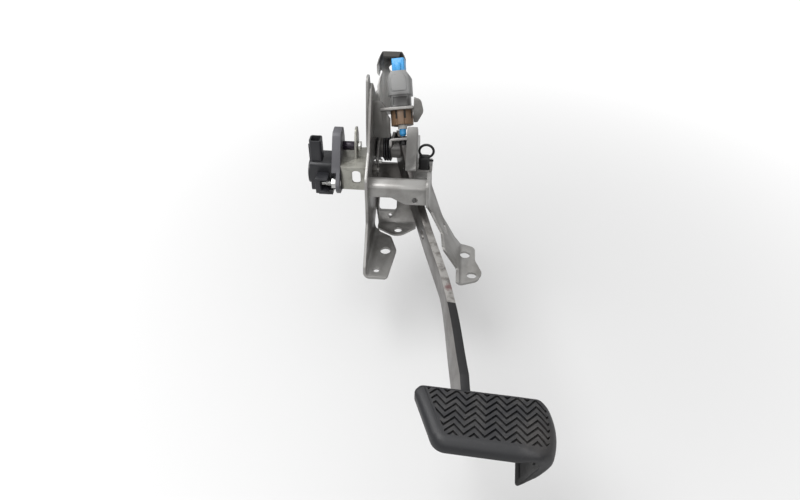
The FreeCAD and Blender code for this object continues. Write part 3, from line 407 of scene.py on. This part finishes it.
def markEdges(mesh):
    # A point is an edge where its faces turn away from each other.
    shape = opened(mesh)
    turns = []
    for point in shape.verts:
        normals = [f.normal for f in point.link_faces][:meshCare["turnFaces"]]
        most = max([0.0] + [1.0 - a.dot(b) for i, a in enumerate(normals) for b in normals[i + 1:]])
        turns.append(min(1.0, most * meshCare["turnGain"]))
    shape.free()
    layer = mesh.attributes.new("edgeTurn", "FLOAT", "POINT")
    layer.data.foreach_set("value", turns)


def smoothed(mesh, angle):
    mesh.shade_smooth()
    mesh.set_sharp_from_angle(angle=math.radians(angle))
    markEdges(mesh)


def softened(node, width):
    mesh = nodes[node].data.copy()
    mesh.materials.clear()
    shape = opened(mesh)
    flat = math.radians(meshCare["flatAngle"])
    bmesh.ops.remove_doubles(shape, verts=shape.verts, dist=meshCare["weld"])
    bmesh.ops.dissolve_limit(shape, angle_limit=flat, verts=shape.verts, edges=shape.edges)
    made = newObject(node + "_shown", closed(shape, mesh))
    if width:
        bevelled(made, width, meshCare["bevelAngle"], "MITER_ARC")
    return made


def present(obj, node):
    # Shade, mark edges and hand the piece to the frame in place of its node.
    mesh = obj.data
    smoothed(mesh, meshCare["sharpAngle"])
    if not mesh.materials:
        mesh.materials.append(pieceFinishes.get(node) or finishes[slotOfNode[node]])
    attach(obj, bodyOfNode[node])
    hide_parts(node)
    return obj


softEdges = {  # bevel width of each node in millimetres
    "left_side_plate": 0.6, "left_doubler": 0.6, "right_side_plate": 0.6, "front_crosspiece": 0.6,
    "rear_crosspiece": 0.6, "upper_support": 0.6, "switch_bracket": 0.6, "pivot_bolt": 0.4, "pivot_nut": 0.4,
    "pivot_sleeve": 0.2, "bush_left": 0.25, "bush_right": 0.25, "pedal_hub": 0.5, "stop_tab": 0.4,
    "stop_cushion": 0.6, "sensor_crank": 0.4, "sensor_pin": 0.3, "pad_plate": 0.4,
    "switch_body": 0.8, "switch_connector": 0.35, "switch_terminals": 0.1, "switch_guide": 0.3,
    "switch_plunger": 0.5, "switch_adjuster": 0.3, "sensor_cradle": 0.35, "sensor_flange": 0.6,
    "sensor_nut": 0.4, "sensor_spacer": 0.3, "sensor_bolt": 0.3, "sensor_housing": 0.6, "sensor_terminals": 0.1,
    "sensor_lever": 0.4, "cradle_screws": 0.3, "cradle_weld_nuts": 0.3, "harness_clip": 0.3,
}
for node, width in softEdges.items():
    present(softened(node, width), node)
print("softened nodes:", len(softEdges))


# Return spring: the node's coil, shaded in spring steel and set in place of its node


def makeSpring():
    spring = softened("return_spring", 0.0)
    smoothed(spring.data, meshCare["sharpAngle"])
    spring.data.materials.append(finishes["spring_steel"])
    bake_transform(spring)
    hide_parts("return_spring")


makeSpring()
print("return spring wound")


# Thread of the sensor stud, a stack of rings along its axis

threadMake = {"pitch": 0.001, "crest": 0.00298, "root": 0.0025, "count": 11, "shank": 0.0029, "inset": 0.0002,
              "sides": 28, "weld": 0.00001}


def newTree(name, inputs, output):
    tree = bpy.data.node_groups.new(name, "GeometryNodeTree")
    for label, kind in inputs.items():
        tree.interface.new_socket(name=label, in_out="INPUT", socket_type="NodeSocket" + kind)
    tree.interface.new_socket(name=output, in_out="OUTPUT", socket_type="NodeSocketGeometry")
    return tree, tree.nodes.new("NodeGroupInput").outputs, tree.nodes.new("NodeGroupOutput").inputs[output]


def runTree(obj, tree, values):
    modifier = obj.modifiers.new(tree.name, "NODES")
    modifier.node_group = tree
    for item in tree.interface.items_tree:
        if item.in_out == "INPUT" and item.name in values:
            modifier[item.identifier] = values[item.name]
    return settle(obj)


def threadTree():
    tree, put, out = newTree("threadRings", {
        "Pitch": "Float", "Crest": "Float", "Root": "Float", "Count": "Int", "Start": "Vector",
        "Plating": "Material"}, "Thread")
    join = tree.links.new
    half = maths(tree, "MULTIPLY", put["Pitch"], 0.5)
    ring = addNode(tree, "GeometryNodeJoinGeometry")
    for low, high, lift in (("Root", "Crest", 0.0), ("Crest", "Root", half)):
        cone = addNode(tree, "GeometryNodeMeshCone", fill_type="NONE")
        cone.inputs["Vertices"].default_value = threadMake["sides"]
        join(put[low], cone.inputs["Radius Bottom"])
        join(put[high], cone.inputs["Radius Top"])
        join(half, cone.inputs["Depth"])
        shift = addNode(tree, "GeometryNodeTransform")
        join(along(tree, Z=lift), shift.inputs["Translation"])
        join(cone.outputs["Mesh"], shift.inputs["Geometry"])
        join(shift.outputs["Geometry"], ring.inputs[0])
    row = addNode(tree, "GeometryNodeMeshLine")
    join(put["Count"], row.inputs["Count"])
    join(put["Start"], row.inputs["Start Location"])
    join(along(tree, X=put["Pitch"]), row.inputs["Offset"])
    rings = addNode(tree, "GeometryNodeInstanceOnPoints")
    rings.inputs["Rotation"].default_value = (0, math.pi / 2, 0)
    join(row.outputs["Mesh"], rings.inputs["Points"])
    join(ring.outputs[0], rings.inputs["Instance"])
    real = addNode(tree, "GeometryNodeRealizeInstances")
    join(rings.outputs["Instances"], real.inputs["Geometry"])
    welded = addNode(tree, "GeometryNodeMergeByDistance")
    welded.inputs["Distance"].default_value = threadMake["weld"]
    join(real.outputs["Geometry"], welded.inputs["Geometry"])
    paint = addNode(tree, "GeometryNodeSetMaterial")
    join(welded.outputs["Geometry"], paint.inputs["Geometry"])
    join(put["Plating"], paint.inputs["Material"])
    join(paint.outputs["Geometry"], out)
    return tree


def makeThread():
    low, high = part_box("sensor_stud")
    middle = (low + high) / 2
    made = newObject("stud_thread", bpy.data.meshes.new("studThread"))
    runTree(made, threadTree(), {
        "Pitch": threadMake["pitch"], "Crest": threadMake["crest"], "Root": threadMake["root"],
        "Count": threadMake["count"], "Start": (low.x + threadMake["inset"], middle.y, middle.z),
        "Plating": finishes["zinc"]})
    plain = high.x - low.x - threadMake["count"] * threadMake["pitch"]  # length without thread
    place = Matrix.Translation((high.x - plain / 2, middle.y, middle.z)) @ Matrix.Rotation(math.pi / 2, 4, "Y")
    shape = opened(made.data)
    bmesh.ops.holes_fill(shape, edges=[e for e in shape.edges if e.is_boundary], sides=0)
    radius = threadMake["shank"]
    shank = bmesh.ops.create_cone(shape, cap_ends=True, segments=threadMake["sides"], radius1=radius,
                                  radius2=radius, depth=plain)
    bmesh.ops.transform(shape, matrix=place, verts=shank["verts"])
    bmesh.ops.recalc_face_normals(shape, faces=shape.faces)
    closed(shape, made.data)
    return present(made, "sensor_stud")


makeThread()
print("stud thread cut")


# Forms that the nodes lack: a raised panel on the switch, an open lug round the stud, a wider web

def wall(shape, lower, upper):
    for i in range(len(lower)):
        j = (i + 1) % len(lower)
        shape.faces.new((lower[i], lower[j], upper[j], upper[i]))


def slabBetween(near, far):
    # Closed shape between two outlines of the same count.
    shape = bmesh.new()
    near = [shape.verts.new(p) for p in near]
    far = [shape.verts.new(p) for p in far]
    shape.faces.new(list(reversed(near)))
    shape.faces.new(far)
    wall(shape, near, far)
    return shape


def addForm(name, shape, node, bevel):
    # A form in millimetres that goes with a node and has its slot.
    bmesh.ops.scale(shape, vec=(millimetre,) * 3, verts=shape.verts)
    bmesh.ops.recalc_face_normals(shape, faces=shape.faces)
    made = newObject(name, closed(shape, bpy.data.meshes.new(name)))
    bevelled(made, bevel, meshCare["formAngle"])
    smoothed(made.data, meshCare["formAngle"])
    made.data.materials.append(finishes[slotOfNode[node]])
    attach(made, bodyOfNode[node])
    return made


def prism(name, outline, low, high, node, bevel):
    # Outline in X and Z, pushed along Y.
    near = [(x, low, z) for x, z in outline]
    far = [(x, high, z) for x, z in outline]
    return addForm(name, slabBetween(near, far), node, bevel)


panelMake = {"front": -10.5, "sunk": 0.4, "proud": 0.8, "narrow": 0.86, "shorten": 0.88, "middle": 53.5,
             "bevel": 0.25,
             "outline": [(-7.6, 44.5), (7.6, 44.5), (8.6, 47.0), (8.6, 58.0), (6.0, 62.5), (-6.0, 62.5),
                         (-8.6, 58.0), (-8.6, 47.0)]}


def makePanel():
    lean, tilt = math.radians(switchPlace["lean"]), math.radians(switchPlace["tilt"])
    turn = Matrix.Rotation(lean, 4, "Y") @ Matrix.Rotation(tilt, 4, "X")
    place = Matrix.Translation(Vector(switchPlace["origin"])) @ turn
    middle, outer = panelMake["middle"], panelMake["front"] - panelMake["proud"]
    back = [(x, panelMake["front"] + panelMake["sunk"], z) for x, z in panelMake["outline"]]
    front = [(x * panelMake["narrow"], outer, middle + (z - middle) * panelMake["shorten"])
             for x, z in panelMake["outline"]]
    shape = slabBetween(back, front)
    bmesh.ops.transform(shape, matrix=place, verts=shape.verts)
    return addForm("switch_panel", shape, "switch_body", panelMake["bevel"])


makePanel()
print("switch panel set")

lugMake = {"left": 5.5, "right": 7.5, "half": 9.0, "depth": 7.0, "wall": 2.4, "end": 5.0, "bevel": 0.4}


def makeLug():
    low, high = (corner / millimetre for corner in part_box("sensor_stud"))
    x, y, z = low.x, (low.y + high.y) / 2, (low.z + high.z) / 2
    left, right, half, thick = x - lugMake["left"], x + lugMake["right"], lugMake["half"], lugMake["wall"]
    inner = left + lugMake["end"]
    outline = [(left, z - half), (right, z - half), (right, z - half + thick), (inner, z - half + thick),
               (inner, z + half - thick), (right, z + half - thick), (right, z + half), (left, z + half)]
    depth = lugMake["depth"]
    return prism("sensor_lug", outline, y - depth, y + depth, "sensor_housing", lugMake["bevel"])


webMake = {"outline": [(-47.0, 106.0), (-43.4, 106.0), (-42.1, 109.0), (-42.1, 128.0), (-47.0, 136.0)],
           "y": (63.9, 61.5), "bevel": 0.4}
makeLug()
prism("switch_web", webMake["outline"], *webMake["y"], "switch_bracket", webMake["bevel"])
print("lug and web added")


# Pedal arm: grey plate with black paint on the lower front edge

armPaint = {"soften": 0.7, "start": (0, -0.107, 0.04), "edge": (0.12, 1, 0.12), "toward": (0, -0.5, 0.87),
            "facing": 0.35, "bareTo": 0.02, "cutWeld": 1e-7}
armCoats = {
    "arm_paint": {"colour": (0.016, 0.016, 0.017), "roughness": 0.6, "specular": 0.3, "wear": 0.5,
                  "wearAndHighlightColour": (0.12, 0.12, 0.12), "stain": 0.3},
    # unpainted steel on the arm's up-facing edge, drawn lighter than the sides as a painted highlight
    "arm_bare_highlit": {"colour": (0.33, 0.32, 0.305), "metallic": 0.5, "roughness": 0.36,
                 "stain": 0.9, "stainScale": 130.0, "stainColour": (0.120, 0.110, 0.103),
                 "wear": 1.0, "wearAndHighlightColour": (0.72, 0.71, 0.69),
                 "marksAndShade": [{"place": (0.0262, -0.0916, 0.0410), "radius": 0.0062, "amount": 0.7,
                            "ragged": 420.0, "colour": (0.105, 0.012, 0.016)},
                           # painted shade where the arm runs between the bracket plates; the red patch above is
                           # a real paint dab
                           {"place": (-0.004, 0.010, 0.055), "radius": 0.050, "amount": 0.85,
                            "colour": (0.040, 0.035, 0.032)}]},
}


def cutAcross(shape, point, normal, dist):
    # New edges where a plane crosses the shape.
    everything = list(shape.verts) + list(shape.edges) + list(shape.faces)
    bmesh.ops.bisect_plane(shape, geom=everything, plane_co=point, plane_no=normal, dist=dist)


def makeArm():
    arm = softened("pedal_arm", armPaint["soften"])
    arm.data.materials.append(finishes["arm_steel"])
    for name, look in armCoats.items():
        arm.data.materials.append(finishMaterial(name, look))
    start, edge, toward = (Vector(armPaint[key]) for key in ("start", "edge", "toward"))
    shape = opened(arm.data)
    cutAcross(shape, start, edge, armPaint["cutWeld"])
    for face in shape.faces:
        middle = face.calc_center_median()
        if face.normal.dot(toward) > armPaint["facing"] and middle.y < armPaint["bareTo"]:
            face.material_index = 1 if edge.dot(middle - start) < 0 else 2  # paint below, unpainted steel above drawn lighter as painted highlight
    closed(shape, arm.data)
    return present(arm, "pedal_arm")


makeArm()
print("arm painted")


# Pad cover: a rounded slab drawn flat, grooved, then rolled under at its right end

padMake = {  # millimetres and degrees
    "centre": (57.0, -239.0, 44.0), "turn": -4.0, "width": 53.0, "thick": 7.0, "skirt": 11.5, "wall": 4.6,
    "backLeft": (-52.5, 26.5), "sideLeft": (-57.3, 20.5), "frontLeft": (-36.0, -26.5),
    "corners": [13.0, 3.0, 3.0, 5.0, 5.5], "cornerSteps": 7,
    "rollRadius": 14.0, "rollEnd": 54.3, "rollAngle": 136.0, "rollThick": 4.0, "lip": 29.2, "lipThin": 3.2,
    "rollFade": (-16.0, -2.0), "thickFade": (-8.0, 12.0), "thinFade": (-6.0, -8.0), "rollSkirt": 0.2,
    "endNarrow": 3.5, "narrowFade": (42.0, 55.3), "endBulge": 4.5, "bulgeFade": (26.0, 54.0), "bulgeAt": -2.3,
    "rimFront": 9.0, "rimLeft": 8.5, "rimCorner": 0.6, "rimBack": 3.6, "rimLip": 2.4, "rimRoll": 4.5,
    "rimFade": (2.0, 21.0), "rimShrink": 0.45, "rimGap": 1.4, "rimSteps": 8,
    "innerEdge": (0.7, 0.5), "outerEdge": (0.8, 0.9), "rollEdge": (0.3, 0.4),  # round the skirt's foot
    "flatFrom": -16.0, "flatSteps": 24, "rollSteps": 18, "lipSteps": 5, "lipSpare": 8.0,
    "cuts": (-20, 23, 4), "cutShift": 0.13, "cutWeld": 1e-5,
}
treadMake = {
    "period": 15.5, "pitch": 6.2, "depth": 2.2, "topWidth": 2.9, "floorWidth": 2.0, "rows": 13, "waves": 8,
    "above": 1.0, "weld": 0.001, "fieldHalf": 6.0,
    "field": [(-47.0, 23.4), (-28.5, -17.2), (45.5, -17.2), (48.5, -13.2), (48.5, 17.4), (44.5, 23.4)],
}


def smooth(low, high, value):
    t = max(0.0, min(1.0, (value - low) / (high - low)))
    return t * t * (3 - 2 * t)


def roundedLoop(corners, radii, insets, steps):
    # Inset polygon with an arc at each corner; the count of points never changes with the insets.
    count = len(corners)
    lines = []
    for i in range(count):
        a, b = Vector(corners[i]), Vector(corners[(i + 1) % count])
        ahead = (b - a).normalized()
        lines.append((a + Vector((-ahead.y, ahead.x)) * insets[i], ahead))
    arcs = []
    for i in range(count):
        p, d = lines[i - 1]
        q, e = lines[i]
        t = ((q.x - p.x) * e.y - (q.y - p.y) * e.x) / (d.x * e.y - d.y * e.x)
        radius = max(radii[i] - (insets[i - 1] + insets[i]) / 2, 0.5)
        half = math.acos(max(-1.0, min(1.0, d.dot(e)))) / 2
        start = p + d * (t - radius * math.tan(half))
        centre = start + Vector((-d.y, d.x)) * radius
        turns = [Matrix.Rotation(2 * half * k / steps, 2) for k in range(steps + 1)]
        arcs.append([centre + turn @ (start - centre) for turn in turns])
    return arcs


def rollSpan(make):
    # Where the roll starts and ends along the flat slab.
    start = make["rollEnd"] - make["rollRadius"]
    return start, start + math.radians(make["rollAngle"]) * make["rollRadius"]


def padStations(make):
    start, bend = rollSpan(make)
    first, lip = make["flatFrom"], make["lip"] - make["lipSpare"]
    flat = [first + (start - first) * i / make["flatSteps"] for i in range(make["flatSteps"] + 1)]
    turned = [start + (bend - start) * i / make["rollSteps"] for i in range(1, make["rollSteps"] + 1)]
    return flat + turned + [bend + lip * i / make["lipSteps"] for i in range(1, make["lipSteps"] + 1)]


def padSlab(make):
    half = make["width"] / 2
    start, bend = rollSpan(make)
    end = bend + make["lip"]
    corners = [make["frontLeft"], (end, -half), (end, half), make["backLeft"], make["sideLeft"]]
    left = make["rimLeft"]
    rims = [make["rimFront"], make["rimLip"], make["rimBack"], left * make["rimCorner"], left]
    stations = padStations(make)
    steps = make["cornerSteps"]

    def inRoll(x):
        return smooth(start + make["rollFade"][0], start + make["rollFade"][1], x)

    def ring(scale, extra, level):
        insets = [r * scale + extra for r in rims]
        arcs = roundedLoop(corners, make["corners"], insets, steps)
        shrink = make["rimShrink"] if scale > 0 else 0.0
        points = list(arcs[0])
        points += [Vector((x, -half + insets[0] * (1 - shrink * inRoll(x)))) for x in stations]
        points += arcs[1] + arcs[2]
        points += [Vector((x, half - insets[2])) for x in reversed(stations)]
        points += arcs[3] + arcs[4]
        return [Vector((p.x, p.y, level(p))) for p in points]

    def rimDrop(p):
        plain = make["rimFront"] + (make["rimBack"] - make["rimFront"]) * smooth(*make["rimFade"], p.y)
        return min(plain + (make["rimRoll"] - plain) * inRoll(p.x), -skirtAt(p) - make["rimGap"])

    def inner(p):
        # Rubber is thickest in the bend and thins to the lip.
        grown = smooth(start + make["thickFade"][0], start + make["thickFade"][1], p.x)
        gone = smooth(bend + make["thinFade"][0], end + make["thinFade"][1], p.x)
        return make["thick"] + make["rollThick"] * grown * (1 - gone) - make["lipThin"] * smooth(bend, end, p.x)

    def skirtAt(p):
        return -make["skirt"] + (make["skirt"] - inner(p) - make["rollSkirt"]) * inRoll(p.x)

    wide, (inset, rise), (outset, climb) = make["wall"], make["innerEdge"], make["outerEdge"]
    rollTop, rollRise = make["rollEdge"]
    rings = [
        ring(0.0, wide, lambda p: rollTop * inRoll(p.x) - inner(p)),
        ring(0.0, wide, lambda p: skirtAt(p) + rise - rollRise * inRoll(p.x)),
        ring(0.0, wide - inset, skirtAt),
        ring(0.0, outset, skirtAt),
        ring(0.0, 0.0, lambda p: skirtAt(p) + climb)]
    for k in range(make["rimSteps"] + 1):
        angle = math.pi / 2 * k / make["rimSteps"]
        rings.append(ring(1 - math.cos(angle), 0.0, lambda p, a=angle: rimDrop(p) * (math.sin(a) - 1)))
    shape = bmesh.new()
    loops = [[shape.verts.new(p) for p in points] for points in rings]
    for lower, upper in zip(loops, loops[1:]):
        wall(shape, lower, upper)
    count = len(stations)
    firstFront = steps + 1
    firstBack = firstFront + count + 2 * (steps + 1)
    for loop, flip in ((loops[-1], False), (loops[0], True)):  # top and underside
        frontRow = loop[firstFront:firstFront + count]
        backRow = list(reversed(loop[firstBack:firstBack + count]))
        patches = [(frontRow[i], frontRow[i + 1], backRow[i + 1], backRow[i]) for i in range(count - 1)]
        patches.append(tuple(loop[firstBack + count:] + loop[:firstFront] + [frontRow[0], backRow[0]]))
        patches.append(tuple([frontRow[-1]] + loop[firstFront + count:firstBack] + [backRow[-1]]))
        for patch in patches:
            shape.faces.new(tuple(reversed(patch)) if flip else patch)
    bmesh.ops.recalc_face_normals(shape, faces=shape.faces)
    return closed(shape, bpy.data.meshes.new("padSlab"))


def treadField(make):
    # Outline that the grooves stay inside, as a tall prism.
    low, high = ([(x, y, level) for x, y in make["field"]] for level in (-make["fieldHalf"], make["fieldHalf"]))
    shape = slabBetween(low, high)
    bmesh.ops.recalc_face_normals(shape, faces=shape.faces)
    return newObject("treadField", closed(shape, bpy.data.meshes.new("treadField")))


def treadTree():
    # Zigzag strips in rows, trimmed to the field and cut out of the slab.
    tree, put, out = newTree("chevronTread", {
        "Slab": "Geometry", "Field": "Object", "Period": "Float", "Pitch": "Float", "Depth": "Float",
        "Floor Width": "Float", "Top Width": "Float", "Rows": "Int", "Waves": "Int",
        "Rubber": "Material"}, "Pad")
    join = tree.links.new
    strip = addNode(tree, "GeometryNodeMeshGrid")
    join(maths(tree, "MULTIPLY", put["Period"], put["Waves"]), strip.inputs["Size X"])
    join(put["Floor Width"], strip.inputs["Size Y"])
    join(maths(tree, "ADD", maths(tree, "MULTIPLY", put["Waves"], 2), 1), strip.inputs["Vertices X"])
    strip.inputs["Vertices Y"].default_value = 2
    apart = addNode(tree, "ShaderNodeSeparateXYZ")
    join(addNode(tree, "GeometryNodeInputPosition").outputs[0], apart.inputs[0])
    side = addNode(tree, "GeometryNodeCaptureAttribute", domain="POINT")
    side.capture_items.new("FLOAT", "Side")
    join(strip.outputs["Mesh"], side.inputs["Geometry"])
    join(maths(tree, "SIGN", apart.outputs["Y"]), side.inputs["Side"])
    rise = addNode(tree, "GeometryNodeExtrudeMesh", mode="FACES")
    rise.inputs["Individual"].default_value = False
    join(side.outputs["Geometry"], rise.inputs["Mesh"])
    join(along(tree, Z=1.0), rise.inputs["Offset"])
    join(maths(tree, "ADD", put["Depth"], treadMake["above"]), rise.inputs["Offset Scale"])
    widen = addNode(tree, "GeometryNodeSetPosition")
    spread = maths(tree, "MULTIPLY", maths(tree, "SUBTRACT", put["Top Width"], put["Floor Width"]), 0.5)
    join(rise.outputs["Mesh"], widen.inputs["Geometry"])
    join(rise.outputs["Top"], widen.inputs["Selection"])
    join(along(tree, Y=maths(tree, "MULTIPLY", side.outputs["Side"], spread)), widen.inputs["Offset"])
    base = addNode(tree, "GeometryNodeFlipFaces")
    join(side.outputs["Geometry"], base.inputs["Mesh"])
    shell = addNode(tree, "GeometryNodeJoinGeometry")
    join(widen.outputs["Geometry"], shell.inputs[0])
    join(base.outputs["Mesh"], shell.inputs[0])
    sealed = addNode(tree, "GeometryNodeMergeByDistance")
    sealed.inputs["Distance"].default_value = treadMake["weld"]
    join(shell.outputs[0], sealed.inputs["Geometry"])
    wave = addNode(tree, "GeometryNodeSetPosition")
    zigzag = maths(tree, "PINGPONG", apart.outputs["X"], maths(tree, "MULTIPLY", put["Period"], 0.5))
    join(sealed.outputs["Geometry"], wave.inputs["Geometry"])
    join(along(tree, Y=zigzag, Z=maths(tree, "MULTIPLY", put["Depth"], -1.0)), wave.inputs["Offset"])
    rows = addNode(tree, "GeometryNodeMeshLine")
    first = maths(tree, "MULTIPLY", maths(tree, "MULTIPLY", put["Rows"], -0.5), put["Pitch"])
    join(put["Rows"], rows.inputs["Count"])
    join(along(tree, Y=first), rows.inputs["Start Location"])
    join(along(tree, Y=put["Pitch"]), rows.inputs["Offset"])
    copies = addNode(tree, "GeometryNodeInstanceOnPoints")
    join(rows.outputs["Mesh"], copies.inputs["Points"])
    join(wave.outputs["Geometry"], copies.inputs["Instance"])
    strips = addNode(tree, "GeometryNodeRealizeInstances")
    join(copies.outputs["Instances"], strips.inputs["Geometry"])
    field = addNode(tree, "GeometryNodeObjectInfo")
    join(put["Field"], field.inputs["Object"])
    trim = addNode(tree, "GeometryNodeMeshBoolean", operation="INTERSECT", solver="EXACT")
    join(strips.outputs["Geometry"], trim.inputs["Mesh 2"])
    join(field.outputs["Geometry"], trim.inputs["Mesh 2"])
    carve = addNode(tree, "GeometryNodeMeshBoolean", operation="DIFFERENCE", solver="EXACT")
    join(put["Slab"], carve.inputs["Mesh 1"])
    join(trim.outputs["Mesh"], carve.inputs["Mesh 2"])
    real = addNode(tree, "GeometryNodeRealizeInstances")
    join(carve.outputs["Mesh"], real.inputs["Geometry"])
    paint = addNode(tree, "GeometryNodeSetMaterial")
    join(real.outputs["Geometry"], paint.inputs["Geometry"])
    join(put["Rubber"], paint.inputs["Material"])
    join(paint.outputs["Geometry"], out)
    return tree


def rolled(point, make):
    # Flat slab to the real shape: the right end turns down, then runs straight to its lip.
    x, y, z = point
    radius, full = make["rollRadius"], math.radians(make["rollAngle"])
    start = make["rollEnd"] - radius
    angle = max(0.0, min(full, (x - start) / radius))
    past = x - start - angle * radius
    across = start + (radius + z) * math.sin(angle) + past * math.cos(angle)
    down = -radius + (radius + z) * math.cos(angle) - past * math.sin(angle)
    half = make["width"] / 2
    narrow = make["endNarrow"] * smooth(*make["narrowFade"], across)
    bulge = make["endBulge"] * ((y - make["bulgeAt"]) / half) ** 2 * smooth(*make["bulgeFade"], across)
    return Vector((across - bulge, y * (1 - narrow / half), down))


def makePad():
    pad = newObject("pad_cover", padSlab(padMake))
    field = treadField(treadMake)
    runTree(pad, treadTree(), {
        "Field": field, "Period": treadMake["period"], "Pitch": treadMake["pitch"], "Depth": treadMake["depth"],
        "Floor Width": treadMake["floorWidth"], "Top Width": treadMake["topWidth"], "Rows": treadMake["rows"],
        "Waves": treadMake["waves"], "Rubber": finishes["rubber"]})
    bpy.data.objects.remove(field)
    shape = opened(pad.data)
    bmesh.ops.triangulate(shape, faces=shape.faces)
    for y in range(*padMake["cuts"]):  # so that the bulged end bends smoothly
        cutAcross(shape, (0, y + padMake["cutShift"], 0), (0, 1, 0), padMake["cutWeld"])
    closed(shape, pad.data)
    turn = Matrix.Rotation(math.radians(padMake["turn"]), 4, "Z")
    place = Matrix.Translation(Vector(padMake["centre"])) @ turn
    for point in pad.data.vertices:
        point.co = (place @ rolled(point.co, padMake)) * millimetre
    pad.data.update()
    return present(pad, "pad_rubber")


pad = makePad()
print("pad cover:", len(pad.data.polygons), "faces")


# Floor, light and camera

studio = {
    "floorZ": -0.098, "floorHalf": 6.0, "floorRough": 0.8, "floorBounce": 0.55, "floorSeen": 0.70,
    "glow": (0.0, 0.6), "glowFade": (0.2, 1.2), "sky": (0.31, 0.90), "skyFade": (-0.1, 0.95),
}
lamps = {
    "key": {"place": (-0.55, -0.15, 1.1), "aim": (0, -0.05, 0.05), "size": (0.9, 0.9), "power": 10.0},
    "front": {"place": (-0.1, -1.3, 0.95), "aim": (0, 0, 0.06), "size": (1.4, 1.0), "power": 4.0},
}
shot = {"place": (0.01646, -0.52939, 0.450), "turn": 4.7, "down": 40.0, "lens": 28.8, "sensor": 36.0}


def aimed(name, data, place, look):
    made = newObject(name, data)
    made.location = place
    made.rotation_euler = look.to_track_quat("-Z", "Y").to_euler()
    return made


def makeFloor():
    shape = bmesh.new()
    bmesh.ops.create_grid(shape, x_segments=1, y_segments=1, size=studio["floorHalf"])
    floor = newObject("floor", closed(shape, bpy.data.meshes.new("floor")))
    floor.location.z = studio["floorZ"]
    material = bpy.data.materials.new("paleFloor")
    material.use_nodes = True
    tree = material.node_tree
    shader = tree.nodes["Principled BSDF"]
    seen = addNode(tree, "ShaderNodeLightPath").outputs["Is Camera Ray"]
    pale = ramp(tree, seen, 0.0, 1.0, studio["floorBounce"], studio["floorSeen"])
    tree.links.new(pale, shader.inputs["Base Color"])
    away = addNode(tree, "ShaderNodeVectorMath", operation="LENGTH")
    tree.links.new(addNode(tree, "ShaderNodeTexCoord").outputs["Object"], away.inputs[0])
    glow = ramp(tree, away.outputs["Value"], *studio["glowFade"], *studio["glow"])
    tree.links.new(sums(tree, "MULTIPLY", seen, glow), shader.inputs["Emission Strength"])
    shader.inputs["Emission Color"].default_value = (1, 1, 1, 1)
    shader.inputs["Roughness"].default_value = studio["floorRough"]
    floor.data.materials.append(material)


def makeLamp(name, make):
    data = bpy.data.lights.new(name, "AREA")
    data.shape = "RECTANGLE"
    data.size, data.size_y = make["size"]
    data.energy = make["power"]
    aimed(name, data, make["place"], Vector(make["aim"]) - Vector(make["place"]))


def makeWorld():
    world = bpy.data.worlds.new("studio")
    world.use_nodes = True
    tree = world.node_tree
    back = tree.nodes["Background"]
    back.inputs["Color"].default_value = (1, 1, 1, 1)
    seen = addNode(tree, "ShaderNodeLightPath").outputs["Is Camera Ray"]
    height = addNode(tree, "ShaderNodeSeparateXYZ")
    tree.links.new(addNode(tree, "ShaderNodeTexCoord").outputs["Generated"], height.inputs[0])
    sky = ramp(tree, height.outputs["Z"], *studio["skyFade"], *studio["sky"])
    tree.links.new(ramp(tree, seen, 0.0, 1.0, sky, 1.0), back.inputs["Strength"])
    scene.world = world


def makeCamera():
    data = bpy.data.cameras.new("shot")
    data.lens = shot["lens"]
    data.sensor_width = shot["sensor"]
    turn, down = math.radians(shot["turn"]), math.radians(shot["down"])
    look = Vector((-math.cos(down) * math.sin(turn), math.cos(down) * math.cos(turn), -math.sin(down)))
    scene.camera = aimed("shot", data, shot["place"], look)


makeFloor()
for name, make in lamps.items():
    makeLamp(name, make)
makeWorld()
makeCamera()
print("studio ready")
